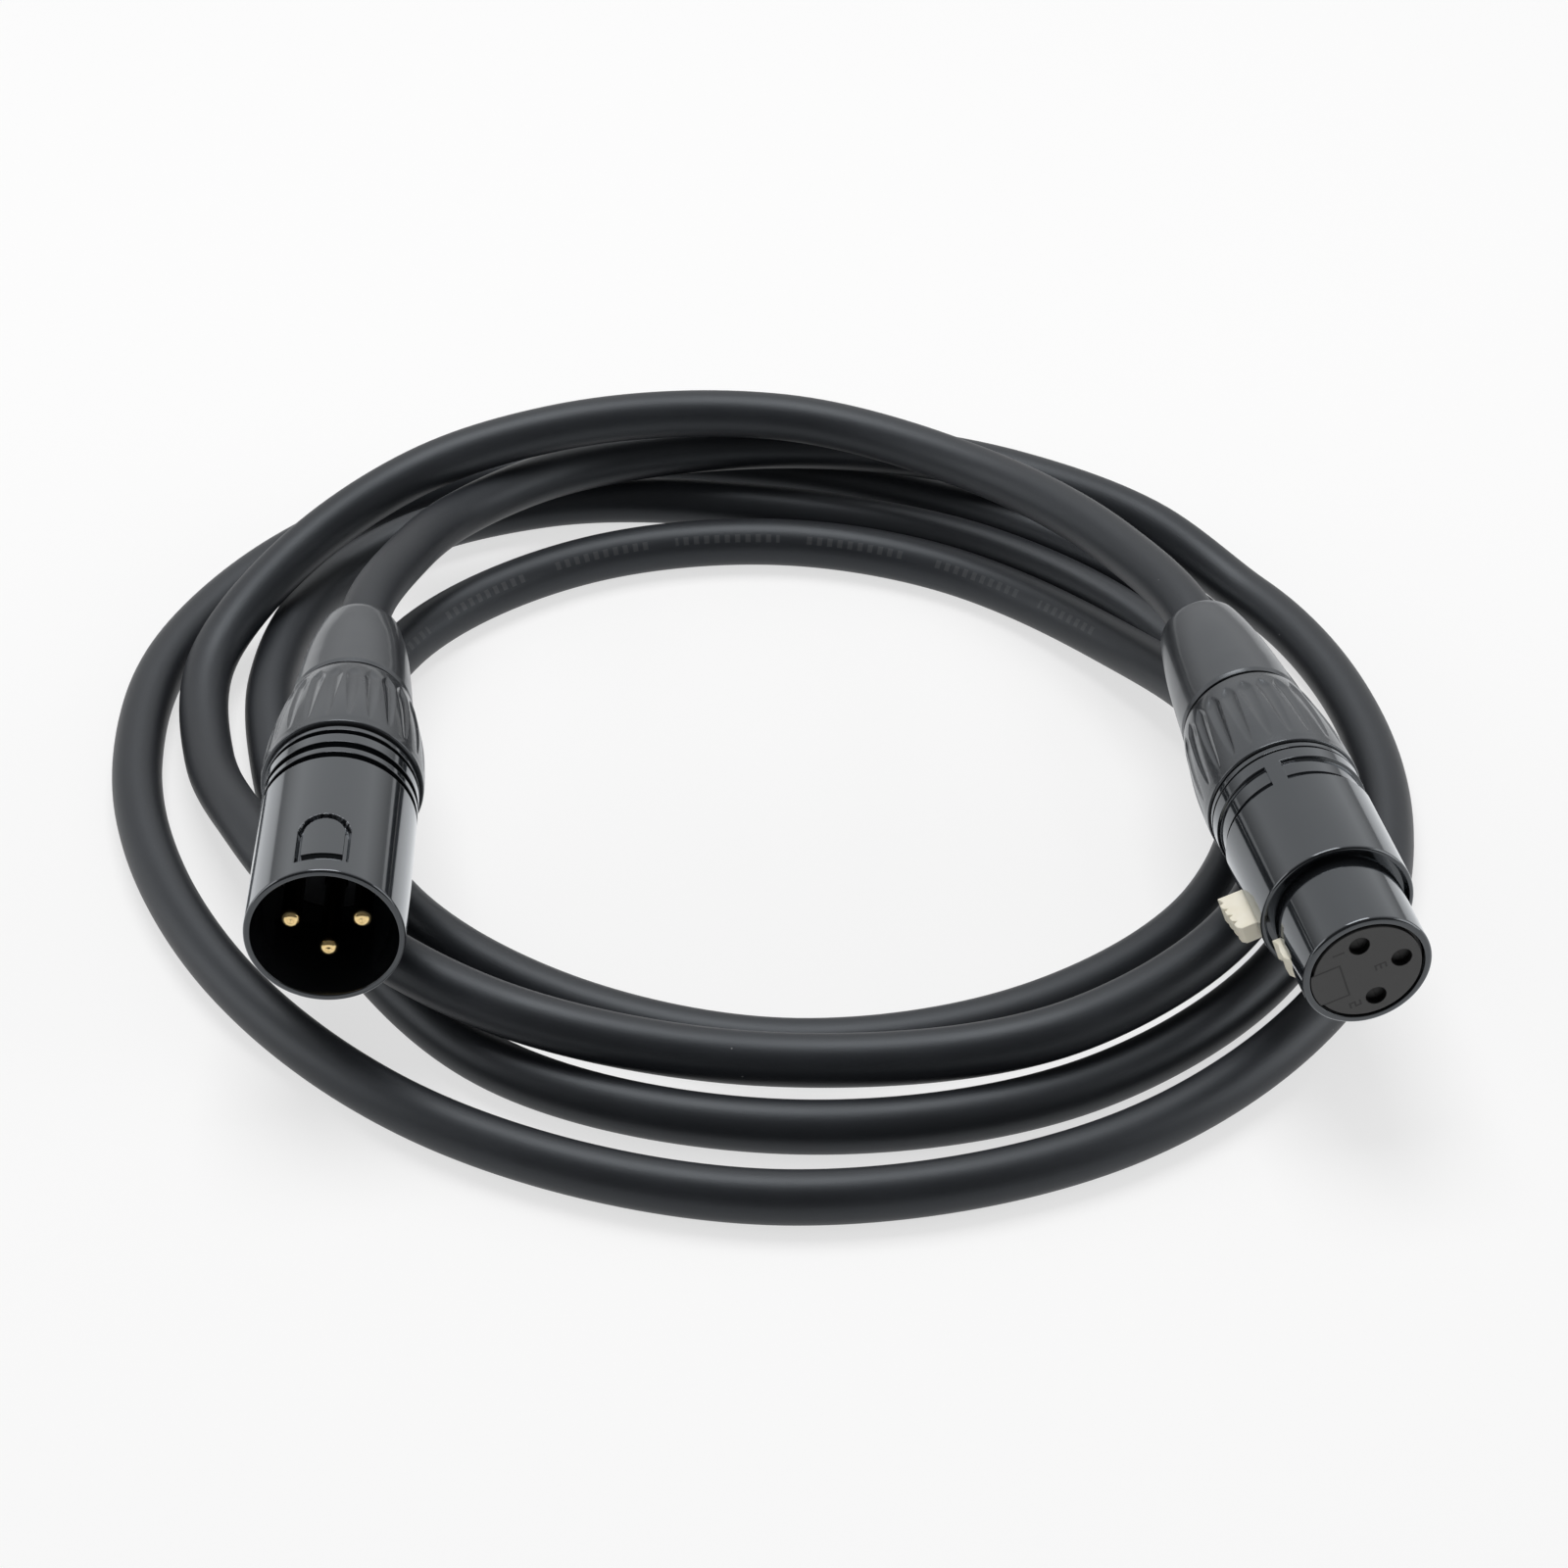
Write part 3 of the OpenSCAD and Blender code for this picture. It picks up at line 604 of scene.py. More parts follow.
# %% Carrying an outline round the axis
def turned(name, seat, rows, angles=120, relief=None, sharp=180):
    """Each outline point (z, r) becomes a ring (r cos a, r sin a, z). relief
    takes the angles, heights and radii and gives how far to lower each
    point towards the axis."""
    turn = (np.linspace(0, 2 * np.pi, angles, endpoint=False)
            if isinstance(angles, int) else np.asarray(angles))
    z = np.repeat(rows[:, :1], len(turn), axis=1)
    r = np.repeat(rows[:, 1:2], len(turn), axis=1)
    a = np.repeat(turn[None, :], len(rows), axis=0)
    if relief is not None:
        r = r - relief(a, z, r)
    points = seat.place(np.stack([r * np.cos(a), r * np.sin(a), z], axis=2).reshape(-1, 3))
    quads, maps = grid_faces(len(rows), len(turn), True)
    if not quads_outwards(points - points.mean(axis=0), quads):
        quads, maps = quads[:, ::-1], maps[:, ::-1]
    closed = np.append(turn, 2 * np.pi)
    maps[..., 0] = closed[maps[..., 0].astype(int)] / (2 * np.pi)
    long_way = np.vstack([rows, rows[:1]])
    length = np.concatenate([[0], np.cumsum(np.linalg.norm(np.diff(long_way, axis=0), axis=1))])
    maps[..., 1] = length[maps[..., 1].astype(int)] * MM
    return piece(name, points, quads, maps, sharp)


def ease(t):
    """0 below 0, 1 above 1, and a smooth step between."""
    t = np.clip(t, 0, 1)
    return t * t * (3 - 2 * t)


print("turning helper ready")

# %% [markdown]
# ## Moulded and painted blacks
#
# Four blacks meet on a connector. They differ in how wide their highlights
# are more than in colour: the boot is a dull nylon, the collar a tighter
# moulding, the shell a die-cast skin under glossy paint with a trace of
# orange peel, the insert a dry phenolic. One function makes them from their
# colour, gloss and grain.

# %% Black finishes
WEAR = 0.35


def moulded(name, shade, rough, grain_size, grain_depth, coat=0.0, shine=0.5):
    """A moulded or painted skin. Fine noise gives the grain, coarse noise
    changes the gloss a little from place to place, as handling does."""
    f = Finish(name)
    grain = f.noise(1 / (grain_size * MM), 2)
    handled = f.noise(220, 4, 0.65)
    spread = f.level(handled, rough * (1 - WEAR / 2), rough * (1 + WEAR / 2))
    colour = f.ramp(handled, (0.3, (shade * 0.9, shade * 0.92, shade)),
                    (0.75, (shade * 1.2, shade * 1.22, shade * 1.3)))
    return f.surface(Base_Color=colour, Roughness=spread, Specular_IOR_Level=shine,
                     Specular_Tint=COOL, Coat_Tint=COOL, Coat_Weight=coat, Coat_Roughness=0.06,
                     Normal=f.bump(grain, grain_depth * MM, 0.6))


shell_black = moulded("shell_black", 0.007, 0.14, 0.35, 0.002, coat=0.95)
collar_black = moulded("collar_black", 0.020, 0.26, 0.14, 0.006, coat=0.3, shine=0.7)
boot_black = moulded("boot_black", 0.024, 0.30, 0.12, 0.008, coat=0.3, shine=0.7)
insert_black = moulded("insert_black", 0.034, 0.5, 0.12, 0.012)
chuck_grey = moulded("chuck_grey", 0.06, 0.5, 0.12, 0.01)
print("five moulded finishes")

# %% Strain reliefs
BORE = CABLE_D / MM / 2 + 0.2
BOOT_REAR_R = 5.6
SEAM_GAP = 0.3
NECK = 5.9
NECK_BORE = 4.9
LIP = 6.5
UNDERCUT = 1.4


def boot(name, seat, length, seam, body):
    """A tapered sleeve. Its outside swells along a cubic from the domed rear
    to the seam, and is undercut behind its front edge to darken the seam.
    The neck in front of that is what the collar turns on."""
    swell = seam - BOOT_REAR_R
    stops = np.array([[1.9, BOOT_REAR_R], [0.3 * length, BOOT_REAR_R + 0.35 * swell],
                      [0.7 * length, BOOT_REAR_R + 0.78 * swell], [length - 0.8, seam - 0.02]])
    side = smooth_line(stops, np.array([0.97, 0.24]), np.array([0.99, 0.12]), 2.5)
    dome = np.array([[0.2, 4.8], [0.4, 5.1], [0.9, 5.38]])
    front = outline([(length - 0.3, seam - 0.12, 0.08), (length - 0.4, seam - 0.4),
                     (length - UNDERCUT, seam - 0.6), (length - UNDERCUT, NECK),
                     (length + 3, NECK), (length + 3, LIP, 0.15),
                     (length + 5, LIP, 0.4), (length + 5, NECK_BORE),
                     (length - 3.5, NECK_BORE), (length - 3.5, BORE),
                     (6, BORE), (0, BORE + 0.9, 0.1)])
    rows = np.vstack([dome, side, front])
    return dress(turned(name, seat, rows, 96, sharp=40), boot_black, body, [name])


boot("male_boot", male, MALE_BOOT, 7.75, "male_boot")
boot("female_boot", female, FEMALE_BOOT, 7.9, "female_boot")

# %% [markdown]
# ## Fluted collars
#
# The collar is screwed on by hand, so it has finger grips: 24 shallow
# valleys, blunt and wide at the back, that narrow to a point before the
# front edge. Cut with cylinders they would need a boolean each. As a relief
# they are one formula: the depth at a point is the valley's depth at that
# height, less the square of the way to the valley's middle.

# %% Collars
COLLAR = 16.1
THREAD_R = 7.9
THREAD_ROOM = 8.1
FLUTES = 24
FLUTE_COLUMNS = 20
FLUTE_DEPTH = 0.36
FLUTE_HALF_WIDTH = 0.98


def flutes(start):
    """Relief of the grip valleys of a collar that starts at this height."""
    def relief(a, z, r):
        along = (z - start) / COLLAR
        blunt = np.sqrt(ease((along - 0.1) / 0.14))
        narrow = 1 - np.clip((along - 0.2) / 0.7, 0, 1)
        pitch = 2 * np.pi / FLUTES
        away = ((a / pitch) % 1 - 0.5) * pitch * r
        valley = 1 - (away / (FLUTE_HALF_WIDTH * blunt * narrow ** 0.4 + 0.01)) ** 2
        return FLUTE_DEPTH * blunt * np.sqrt(narrow) * np.clip(valley, 0, 1) * (r > 7.2)
    return relief


def collar(name, seat, boot_length, rear, front, gap, body):
    """Outside: a slow swell from the rear to the front radius. Inside: a
    ring that grips the boot's neck, the room for its lip, and the thread.
    The gap is the open line between its front edge and the shell."""
    start = boot_length + SEAM_GAP
    end = boot_length + COLLAR + 2 * SEAM_GAP - gap
    swell = front - rear
    stops = np.array([[start + 0.3, rear + 0.02], [start + 0.3 * COLLAR, rear + 0.5 * swell],
                      [start + 0.6 * COLLAR, rear + 0.85 * swell], [end - 1.1, front]])
    side = smooth_line(stops, np.array([0.96, 0.28]), np.array([1.0, 0.02]), 5)
    inside = outline([(end, front, 0.25), (end, THREAD_ROOM, 0.1),
                      (start + 6.2, THREAD_ROOM), (start + 6.2, 6.9), (start + 2.4, 6.9),
                      (start + 2.4, 6.2), (start, 6.2), (start, rear - 0.02, 0.12)])
    rows = np.vstack([side, inside])
    made = turned(name, seat, rows, FLUTES * FLUTE_COLUMNS, flutes(start), sharp=50)
    return dress(made, collar_black, body, [name])


collar("male_collar", male, MALE_BOOT, 7.9, 10, 0.3, "male_collar")
collar("female_collar", female, FEMALE_BOOT, 8.0, 9.68, 0.15, "female_collar")

# %% [markdown]
# ## The male shell
#
# A die-cast tube, painted black. Its rear has three turned lines, its top a
# shallow arched recess that is bare here, and its mouth a rounded lip that
# catches the light all the way round. The columns of the grid crowd together
# under the recess, so its edge is crisp without making the whole shell
# heavy.

# %% Male shell
MALE_LENGTH = 64.5
MALE_REAR = MALE_BOOT + COLLAR + 2 * SEAM_GAP
MALE_R = 9.5
TUBE_BORE = 6.95
MOUTH_R = 8.1
RECESS_W = 6.4
RECESS_FRONT = MALE_LENGTH - 2.4
RECESS_REAR = MALE_LENGTH - 11.3
RECESS_DEPTH = 0.1
RIM_DEPTH = 0.72
RIM_HALF = 0.36
RIM_INSET = 0.33
BAR_W = 1.25
SLOPE = 0.1
CELL = 0.09
INSERT_BACK = 37.5


def ring_line(z, r, width, depth):
    """Corners of a groove that is turned into an outside of radius r."""
    return [(z, r, 0.08), (z, r - depth), (z + width, r - depth), (z + width, r, 0.08)]


def recess(a, z, r):
    """Depth of the arched recess: shallow inside it, with a deeper line just
    inside its edge, which is broader along the front. The edge's distance is
    that of a box whose rear end is a half circle."""
    x = (a - np.pi / 2) * MALE_R
    radius = RECESS_W / 2
    arch = np.hypot(x, np.minimum(z - (RECESS_REAR + radius), 0)) - radius
    edge = np.maximum(arch, z - RECESS_FRONT)
    inside = ease(0.5 - edge / SLOPE)
    rim = ease((RIM_HALF - np.abs(edge + RIM_INSET)) / SLOPE)
    bar = ease((z - RECESS_FRONT + BAR_W) / SLOPE)
    return (RECESS_DEPTH * inside + RIM_DEPTH * np.maximum(rim, bar) * inside) * (r > 9)


fine = np.arange(-3.7, 3.7, CELL) / MALE_R + np.pi / 2
rest = np.linspace(fine[-1], fine[0] + 2 * np.pi, 150)[1:-1]
male_corners = [
    (26, TUBE_BORE), (26, 7.5), (26.4, THREAD_R), (MALE_REAR, THREAD_R), (MALE_REAR, MALE_R, 0.15),
    *ring_line(MALE_REAR + 0.9, MALE_R, 0.8, 0.7),
    *ring_line(MALE_REAR + 3.4, MALE_R, 1.2, 0.95),
    *ring_line(MALE_REAR + 5.6, MALE_R, 1.05, 0.85),
    (MALE_LENGTH, MALE_R, 0.35), (MALE_LENGTH, MOUTH_R + 0.6, 0.15), (MALE_LENGTH - 6, MOUTH_R),
    (INSERT_BACK, MOUTH_R), (INSERT_BACK, TUBE_BORE)]
rows = outline(male_corners)
front_rows = np.arange(RECESS_REAR - 1, RECESS_FRONT + 0.8, CELL)
cut = np.flatnonzero((rows[:-1, 1] > 9.4) & (np.diff(rows[:, 0]) > 10))[0]
rows = np.vstack([rows[:cut + 1], np.stack([front_rows, np.full_like(front_rows, MALE_R)], axis=1),
                  rows[cut + 1:]])
male_shell = turned("male_shell", male, rows, np.concatenate([fine, rest]), recess, sharp=60)
dress(male_shell, shell_black, "coil", ["male_shell"])

# %% [markdown]
# ## Gold pins
#
# Three turned brass pins, gold plated, with their ends rounded over. A pin
# is seen from the tip, so its small flat and the curve round it matter more
# than its shaft. The plating is worn smooth, with fine rings left by the
# turning.

# %% Pins
def gold(name, bright_from=None):
    """Gold plating. Given a distance along the piece's own map, the colour
    before it is a painted shade, nearly black, and the plating is bright after it."""
    f = Finish(name)
    rings = f.noise(2600, 2)
    colour = f.ramp(rings, (0.3, (0.80, 0.58, 0.26)), (0.7, (0.90, 0.70, 0.36)))
    if bright_from is not None:
        along = f.node("ShaderNodeSeparateXYZ", None, {0: f.node("ShaderNodeTexCoord").out("UV")})
        # Painted shade: the cup and shaft, deep in the dark mouth, are coloured nearly black, and
        # only the tip keeps its gold.
        shaft_shade = f.node("ShaderNodeMapRange", None, {"Value": along.out("Y"), 1: bright_from,
                                                      2: bright_from + 0.2 * MM})
        colour = f.mix(shaft_shade, (0.03, 0.02, 0.01, 1), colour)
    return f.surface(Base_Color=colour, Metallic=1.0, Roughness=f.level(rings, 0.16, 0.26),
                     Normal=f.bump(rings, 0.000004, 0.5))


contact_gold = gold("contact_gold")
CONTACT_CIRCLE = 4.2
PIN_R = 1.2
PIN_ROOT_R = 1.4
MALE_FACE = MALE_LENGTH - 16.5
PIN_TIP = MALE_LENGTH - 3
PIN_ANGLES = {1: 180, 2: 0, 3: 270}
CUP_R = 1.5
CUP_REAR = 32.9
CUP_FRONT = 36.9
BRIGHT_TIP = 1.6


class Aside(Seat):
    """The seat of a small turned piece beside a connector's axis."""

    def __init__(self, seat, angle, distance):
        self.axis, self.right, self.up = seat.axis, seat.right, seat.up
        x, y = distance * math.cos(math.radians(angle)), distance * math.sin(math.radians(angle))
        self.start = seat.place([[x, y, 0]])[0]


pin_rows = outline([(CUP_REAR, 0.02), (CUP_REAR, CUP_R, 0.1), (CUP_FRONT, CUP_R, 0.1),
                    (CUP_FRONT, PIN_ROOT_R),
                    (MALE_FACE, PIN_ROOT_R), (MALE_FACE, PIN_R), (PIN_TIP, PIN_R, 0.72),
                    (PIN_TIP, 0.4), (PIN_TIP - 0.1, 0.02)])
to_tip = np.cumsum(np.linalg.norm(np.diff(pin_rows, axis=0), axis=1))
# The pins' shafts get a painted shade, and only the last BRIGHT_TIP millimetres stay gold.
pin_gold = gold("pin_gold", to_tip[np.argmax(pin_rows[1:, 0] > PIN_TIP - BRIGHT_TIP)] * MM)
for number, turn in PIN_ANGLES.items():
    pin = turned(f"male_pin_{number}", Aside(male, turn, CONTACT_CIRCLE), pin_rows, 40, sharp=50)
    dress(pin, pin_gold, "coil", [f"male_pin_{number}"])

# %% [markdown]
# ## The female shell
#
# This shell steps down to a nose that enters a male mouth. Two slots are
# sunk round it, with a narrow bridge between their ends, and it is cut
# through along one side for the latch. The sunk slots are a relief again.
# The through cuts change the surface's holes, which no relief can, so those
# two are booleans, taken once and kept.

# %% Female shell
FEMALE_LENGTH = 68.5
FEMALE_REAR = FEMALE_BOOT + COLLAR + 2 * SEAM_GAP
FEMALE_R = 9.4
NOSE_R = 7.85
SHOULDER = FEMALE_LENGTH - 11.2
SLOT_Z = FEMALE_REAR + 2.9
SLOT_W = 3.4
SLOT_DEPTH = 0.42
SLOT_STEP = 1.0
STEP_EXTRA = 0.7
SLOT_SLOPE = 0.16
SLOT_MIDDLE = math.radians(1)
SLOT_BRIDGE = math.radians(12.5)
SLOT_REACH = math.radians(100)
LEVER_W = 3.2
LEVER_END = SHOULDER + 6.9
HOOK_START = SHOULDER + 2.2
TAB_W = 2.6
TAB_REAR = SHOULDER - 8.2
TAB_FRONT = SHOULDER - 1.9
PLAY = 0.3


def sunk_slots(a, z, r):
    """Depth of the two slots: inside both a band of heights and a stretch
    of turn on either side of the bridge, with a short even slope and a
    deeper step along the front."""
    turn = np.abs((a - SLOT_MIDDLE + np.pi) % (2 * np.pi) - np.pi)
    across = np.abs(z - SLOT_Z - SLOT_W / 2) - SLOT_W / 2
    around = np.maximum(SLOT_BRIDGE / 2 - turn, turn - SLOT_BRIDGE / 2 - SLOT_REACH) * FEMALE_R
    edge = np.maximum(across, around)
    front_part = ease((z - SLOT_Z - SLOT_W + SLOT_STEP) / SLOPE)
    return SLOT_DEPTH * (1 + STEP_EXTRA * front_part) * ease(0.5 - edge / SLOT_SLOPE) * (r > 9)


def box_cutter(seat, low, high):
    """A closed box between two corners of the upright connector."""
    pick = np.array([[i, j, k] for i in (0, 1) for j in (0, 1) for k in (0, 1)])
    points = seat.place(np.where(pick, high, low))
    faces = [[0, 1, 3, 2], [4, 6, 7, 5], [0, 4, 5, 1], [2, 3, 7, 6], [0, 2, 6, 4], [1, 5, 7, 3]]
    return piece("cutter", points, faces)


def joined(obj, others, operation):
    """The mesh of obj after a boolean with each of the others, which go."""
    for other in others:
        change = obj.modifiers.new(operation.lower(), "BOOLEAN")
        change.operation = operation
        change.solver = "EXACT"
        change.object = other
    bpy.context.view_layer.update()
    graph = bpy.context.evaluated_depsgraph_get()
    mesh = bpy.data.meshes.new_from_object(obj.evaluated_get(graph))
    obj.modifiers.clear()
    obj.data = mesh
    for other in others:
        bpy.data.objects.remove(other)
    return obj


bridge_ends = [SLOT_MIDDLE + side * (SLOT_BRIDGE / 2 + far * SLOT_REACH)
               for side in (-1, 1) for far in (0, 1)]
around = np.linspace(0, 2 * np.pi, 200, endpoint=False)
near = np.concatenate([end + np.linspace(-0.25, 0.25, 9) / FEMALE_R for end in bridge_ends])
around = np.unique(np.round(np.concatenate([around, near % (2 * np.pi)]), 5))
slot_rows = [(SLOT_Z + e + d, FEMALE_R) for e in (0, SLOT_W - SLOT_STEP + 0.05, SLOT_W)
             for d in np.linspace(-0.14, 0.14, 8)]
rows = outline([
    (27.9, TUBE_BORE), (27.9, 7.5), (28.3, THREAD_R),
    (FEMALE_REAR, THREAD_R), (FEMALE_REAR, FEMALE_R, 0.15),
    *ring_line(FEMALE_REAR + 0.8, FEMALE_R, 0.25, 0.2),
    *slot_rows,
    (SHOULDER, FEMALE_R, 0.35), (SHOULDER, NOSE_R + 1), (SHOULDER - 1, NOSE_R + 0.6),
    (SHOULDER - 1, NOSE_R),
    (FEMALE_LENGTH, NOSE_R, 0.4), (FEMALE_LENGTH, TUBE_BORE, 0.12), (60, TUBE_BORE)])
female_shell = turned("female_shell", female, rows, around, sunk_slots)
tab_room = box_cutter(female, (-TAB_W / 2 - PLAY, 0, TAB_REAR - PLAY),
                      (TAB_W / 2 + PLAY, 12, TAB_FRONT + PLAY))
hook_room = box_cutter(female, (-LEVER_W / 2 - PLAY, 0, HOOK_START - 0.5),
                       (LEVER_W / 2 + PLAY, 12, LEVER_END + PLAY))
joined(female_shell, [tab_room, hook_room], "DIFFERENCE")
female_shell.data.set_sharp_from_angle(angle=math.radians(50))
dress(female_shell, shell_black, "coil", ["female_shell"])

# %% [markdown]
# ## The female insert
#
# The face of the insert is what a buyer looks at: three holes for the pins,
# the numbers beside them, and the thin outline of the key that holds the
# insert in its shell. The body is turned, and cutters with flared ends drill
# the holes, so that each mouth gets its small countersink in the same cut.

# %% Female insert
INSERT_R = 6.85
INSERT_REAR = SHOULDER - 13.9
SOCKET_ANGLES = {1: 0, 2: 180, 3: 270}
KEY_HALF_WIDTH = 2.45
KEY_INNER = 2.9
HOLE_R = 1.25


def rim_gap(a, z, r):
    """The insert's rim stands off the nose near the face, so that a dark
    line runs round it, except beside the key."""
    from_key = np.abs((a - np.pi / 2 + np.pi) % (2 * np.pi) - np.pi) * INSERT_R
    return 0.3 * (z > FEMALE_LENGTH - 0.87) * (r > 6) * ease((from_key - KEY_HALF_WIDTH) / 0.3)


rows = outline([(INSERT_REAR, 0.02), (INSERT_REAR, INSERT_R), (FEMALE_LENGTH - 0.9, INSERT_R),
                (FEMALE_LENGTH - 0.85, INSERT_R), (FEMALE_LENGTH, INSERT_R, 0.1),
                (FEMALE_LENGTH, 0.02)])
female_insert = turned("female_insert", female, rows, 192, rim_gap)
hole = outline([(FEMALE_LENGTH - 2, 0.02), (FEMALE_LENGTH - 2, HOLE_R),
                (FEMALE_LENGTH - 0.05, HOLE_R), (FEMALE_LENGTH + 0.1, HOLE_R + 0.15),
                (FEMALE_LENGTH + 1, HOLE_R + 0.15), (FEMALE_LENGTH + 1, 0.02)])
channel = outline([(INSERT_REAR - 1, 0.02), (INSERT_REAR - 1, 1.8), (FEMALE_LENGTH - 0.9, 1.8),
                   (FEMALE_LENGTH - 0.9, 0.02)])
cutters = []
for turn in SOCKET_ANGLES.values():
    side = Aside(female, turn, CONTACT_CIRCLE)
    cutters += [turned("cutter", side, hole, 40), turned("cutter", side, channel, 40)]
cutters.append(box_cutter(female, (-1.9, 3.4, 45.5), (1.9, 8, LEVER_END + PLAY + 0.1)))
joined(female_insert, cutters, "DIFFERENCE")
female_insert.data.set_sharp_from_angle(angle=math.radians(40))


def flat_map(obj, seat):
    """Maps a piece straight down its connector's axis, in millimetres."""
    mesh = obj.data
    where = np.zeros(3 * len(mesh.vertices))
    mesh.vertices.foreach_get("co", where)
    offset = (where.reshape(-1, 3) - seat.start) / MM
    flat = np.stack([offset @ seat.right, offset @ seat.up], axis=1)
    corner = np.zeros(len(mesh.loops), int)
    mesh.loops.foreach_get("vertex_index", corner)
    mesh.uv_layers.active.data.foreach_set("uv", flat[corner].ravel().astype(np.float32))


# Strokes of plain digits, each from one point of a cell to another.
DIGITS = {1: [(0, -1, 0, 1)],
          2: [(-1, 1, 1, 1), (1, 0, 1, 1), (-1, 0, 1, 0), (-1, -1, -1, 0), (-1, -1, 1, -1)],
          3: [(-1, 1, 1, 1), (-1, 0, 1, 0), (-1, -1, 1, -1), (1, -1, 1, 1)]}
DIGIT_SIZE = (0.32, 0.62)
DIGIT_OFFSET = 2.6
STROKE = 0.24


def face_strokes():
    """Low and high corners of every engraved stroke on the insert's face."""
    lines = [(side * KEY_HALF_WIDTH, KEY_INNER, side * KEY_HALF_WIDTH, 6.5) for side in (-1, 1)]
    lines.append((-KEY_HALF_WIDTH, KEY_INNER, KEY_HALF_WIDTH, KEY_INNER))
    for number, turn in SOCKET_ANGLES.items():
        x = CONTACT_CIRCLE * math.cos(math.radians(turn))
        y = CONTACT_CIRCLE * math.sin(math.radians(turn)) + DIGIT_OFFSET
        w, h = DIGIT_SIZE
        lines += [(x + w * a, y + h * b, x + w * c, y + h * d) for a, b, c, d in DIGITS[number]]
    half = STROKE / 2
    return [(a - half, b - half, c + half, d + half) for a, b, c, d in lines]


def engraved_face():
    """The insert's black, with its strokes sunk, and a painted shade that makes the strokes and the
    three holes darker.
    """
    f = Finish("insert_face")
    place = f.node("ShaderNodeSeparateXYZ", None, {0: f.node("ShaderNodeTexCoord").out("UV")})
    x, y = place.out("X"), place.out("Y")
    # Painted shade: every engraved stroke is darkened as well as sunk, in place of the shade in its
    # groove.
    marks = x * 0
    for left, bottom, right_end, top in face_strokes():
        marks = marks.math("MAXIMUM", (x > left) * (x < right_end) * (y > bottom) * (y < top))
    # Painted shade: a dark disc over each hole keeps its walls black.
    for turn in SOCKET_ANGLES.values():
        across = x - CONTACT_CIRCLE * math.cos(math.radians(turn))
        upwards = y - CONTACT_CIRCLE * math.sin(math.radians(turn))
        marks = marks.math("MAXIMUM", (across * across + upwards * upwards) < HOLE_R ** 2 + 0.05)
    grain = f.noise(8000, 2)
    handled = f.noise(220, 4, 0.65)
    shade = f.level(handled, 0.032, 0.044) * (1 - marks * 0.9)
    return f.surface(Base_Color=f.ramp(shade, (0, (0, 0, 0)), (1, (1, 1, 1))),
                     Roughness=f.level(handled, 0.45, 0.55),
                     Normal=f.bump(grain * 0.1 - marks, 0.00012, 0.6))


flat_map(female_insert, female)
dress(female_insert, engraved_face(), "coil", ["female_insert"])

# %% [markdown]
# ## The latch
#
# An ivory lever turns on a cross pin inside the nose. Its push tab stands
# out of the shell's side, with steps for the thumb, and its hook catches
# inside a male mouth. Each part is a flat outline with some width, joined by
# a boolean, and a bevel breaks every edge as the mould does.

# %% Latch
def slab(seat, outline_zy, width):
    """An outline of (height, distance from the axis) points, drawn on the
    latch's middle plane and given a width to both sides."""
    n = len(outline_zy)
    points = [(x, y, z) for x in (-width / 2, width / 2) for z, y in outline_zy]
    sides = [[k, (k + 1) % n, n + (k + 1) % n, n + k] for k in range(n)]
    faces = [list(range(n))[::-1], list(range(n, 2 * n)), *sides]
    points = seat.place(points)
    if not faces_outwards(points - points.mean(axis=0), faces):
        faces = [face[::-1] for face in faces]
    return piece("slab", points, faces)


LEVER_TOP = 5.9
TAB_TOP = FEMALE_R + 3.2
HOOK_TOP = NOSE_R + 0.8
TEETH = 4

pitch = (TAB_FRONT - TAB_REAR - 1.2) / TEETH
steps = []
for k in range(TEETH):
    front = TAB_FRONT - 0.5 - k * pitch
    steps += [(front, TAB_TOP - 0.9 + 0.2 * k), (front - 0.6 * pitch, TAB_TOP - 0.75 + 0.2 * k),
              (front - 0.8 * pitch, TAB_TOP - 1.3 + 0.2 * k)]
lever = slab(female, [(47, 4.9), (LEVER_END, 4.9), (LEVER_END, HOOK_TOP - 1.3),
                      (LEVER_END - 1.4, HOOK_TOP - 0.4), (LEVER_END - 2.6, HOOK_TOP - 0.3),
                      (HOOK_START + 0.9, HOOK_TOP - 0.5), (HOOK_START, HOOK_TOP),
                      (HOOK_START, LEVER_TOP), (47, LEVER_TOP)], LEVER_W)
stem = slab(female, [(TAB_REAR + 0.5, LEVER_TOP - 0.5), (TAB_FRONT - 0.5, LEVER_TOP - 0.5),
                     (TAB_FRONT - 0.5, 7.7), (TAB_REAR + 0.5, 7.7)], 2.2)
tab = slab(female, [(TAB_REAR, 7.5), (TAB_FRONT, 7.5), (TAB_FRONT, TAB_TOP - 1.4), *steps,
                    (TAB_REAR, TAB_TOP - 0.2)], TAB_W)
latch = joined(lever, [stem, tab], "UNION")
latch.name = "female_latch_finished"
edge = latch.modifiers.new("broken_edges", "BEVEL")
edge.width = 0.15 * MM
edge.segments = 2
edge.limit_method = "ANGLE"
latch.data.set_sharp_from_angle(angle=math.radians(30))


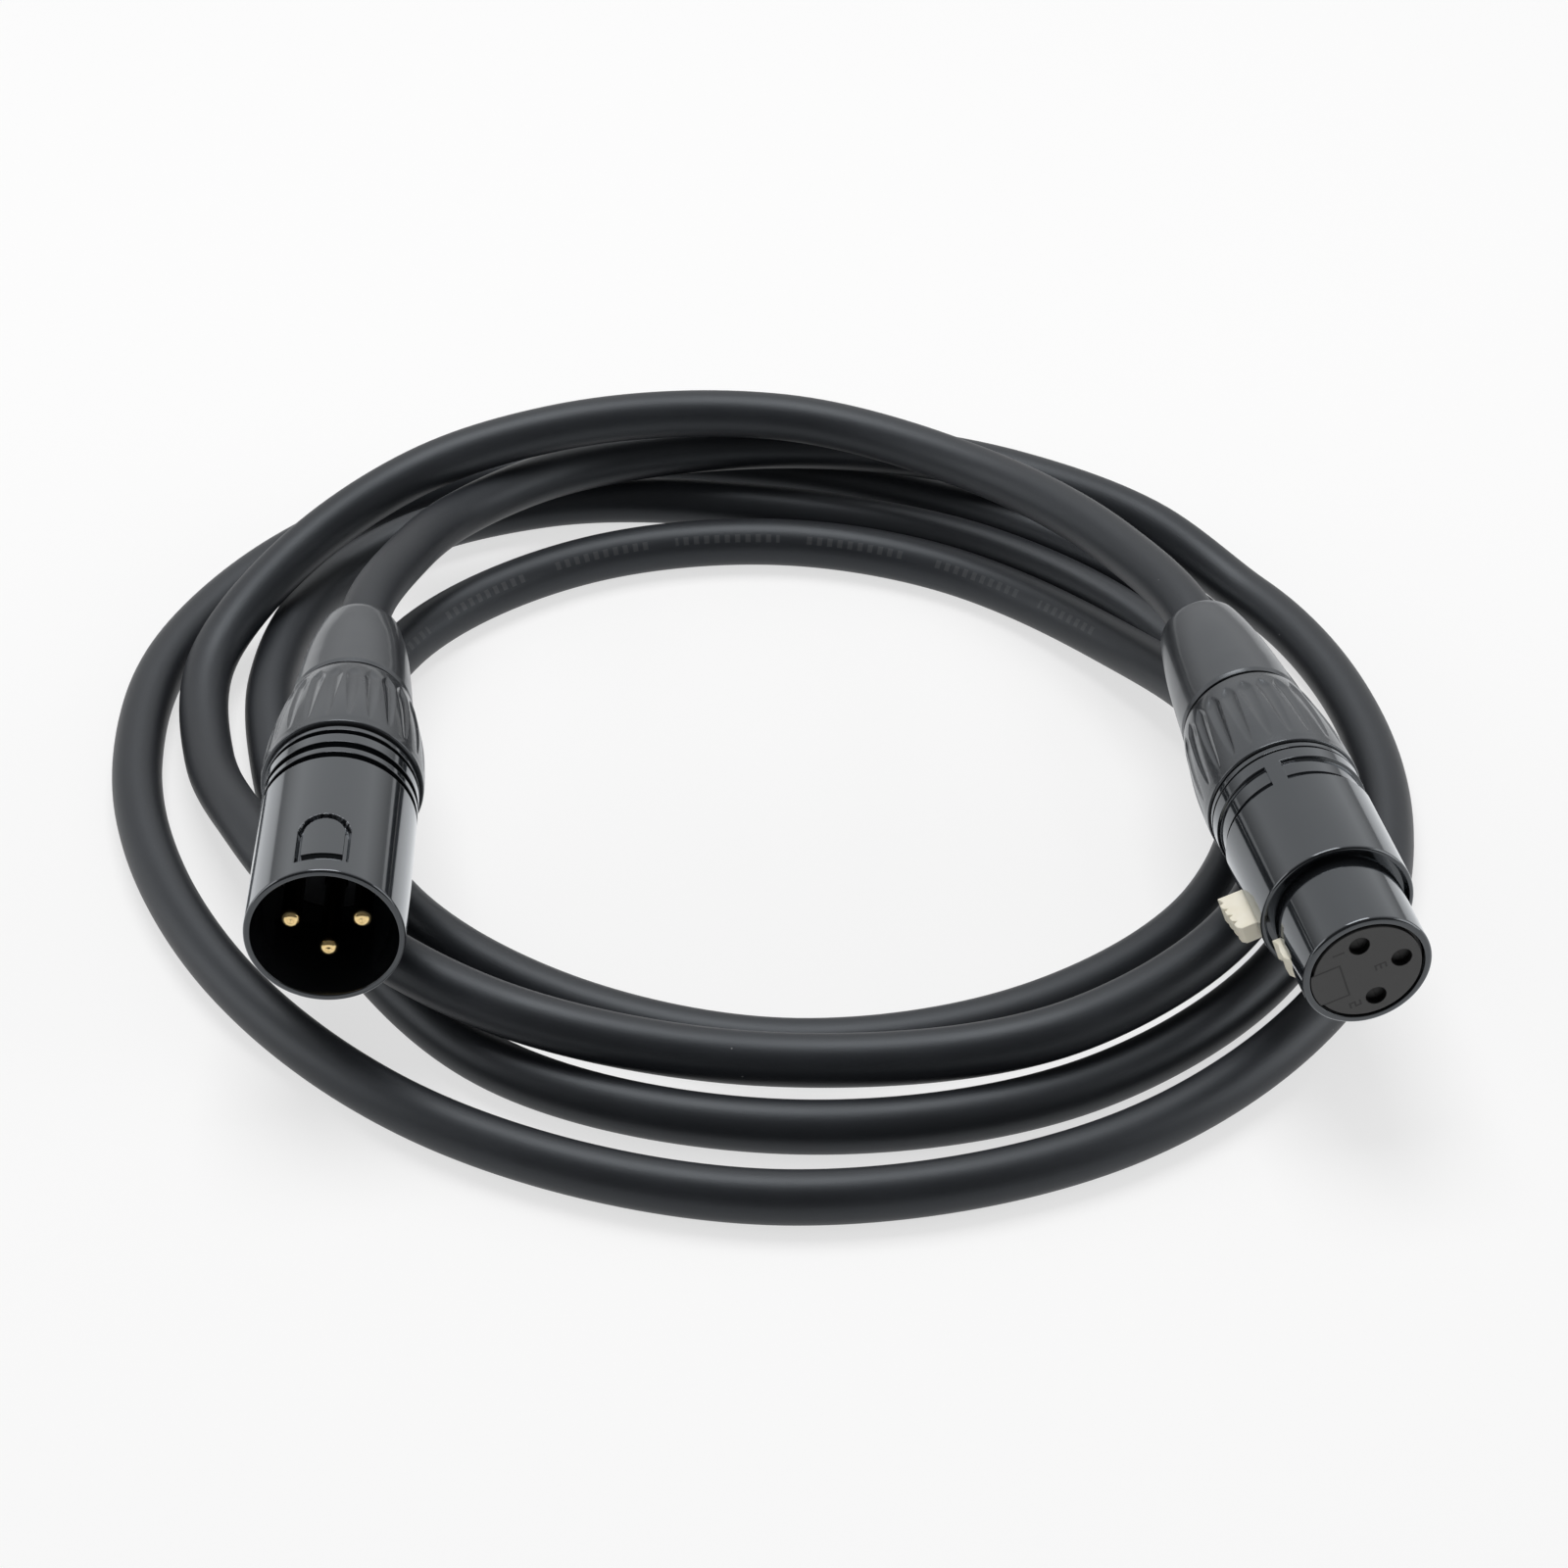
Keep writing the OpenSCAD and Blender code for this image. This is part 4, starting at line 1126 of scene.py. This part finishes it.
def ivory():
    f = Finish("latch_ivory")
    cloud = f.noise(500, 3)
    shade = f.ramp(cloud, (0.3, (0.88, 0.83, 0.68)), (0.7, (0.93, 0.89, 0.76)))
    return f.surface(Base_Color=shade,
                     Roughness=f.level(cloud, 0.38, 0.5), Normal=f.bump(f.noise(6000), 0.00001, 0.5))


dress(latch, ivory(), "female_latch", ["female_latch"])

# %% [markdown]
# ## Inside
#
# What the shells hide still has its own finish, because the boots can be
# unscrewed and the insides looked at: grey jaws that grip the cable, red and
# white cores, bare copper, tin-plated tags, steel pins. These pieces are
# right as the frame brings them, so they only get materials.

# %% Finishes of the inner pieces
def metal(name, shade, rough):
    """Drawn or stamped metal: a metallic surface with a fine streak noise."""
    f = Finish(name)
    streak = f.noise(3000, 2)
    low, high = [tuple(c * k for c in shade) for k in (0.85, 1.0)]
    return f.surface(Base_Color=f.ramp(streak, (0.3, low), (0.7, high)), Metallic=1.0,
                     Roughness=f.level(streak, rough * 0.8, rough * 1.2),
                     Normal=f.bump(streak, 0.000005, 0.5))


def insulation(name, shade):
    f = Finish(name)
    cloud = f.noise(1500, 2)
    low, high = [tuple(c * k for c in shade) for k in (0.9, 1.0)]
    return f.surface(Base_Color=f.ramp(cloud, (0.3, low), (0.7, high)),
                     Roughness=f.level(cloud, 0.3, 0.42), Normal=f.bump(cloud, 0.00001, 0.4))


steel_parts = metal("steel_parts", (0.62, 0.63, 0.65), 0.3)
wire_copper = metal("wire_copper", (0.80, 0.42, 0.26), 0.35)
core_red = insulation("core_red", (0.45, 0.025, 0.03))
core_white = insulation("core_white", (0.80, 0.79, 0.75))

INNER = {
    "insert": insert_black, "chuck": chuck_grey, "socket_1": contact_gold,
    "socket_2": contact_gold, "socket_3": contact_gold, "ground_tag": steel_parts,
    "insert_screw": steel_parts, "latch_pin": steel_parts, "latch_spring": steel_parts,
    "hot_core": core_red, "cold_core": core_white, "screen_wire": wire_copper}
for side in ("male", "female"):
    for part, finish in INNER.items():
        node = frame["nodes"].get(f"{side}_{part}")
        if node is not None and not node.hide_render:
            node.data.materials.clear()
            node.data.materials.append(finish)
print("inner pieces dressed")
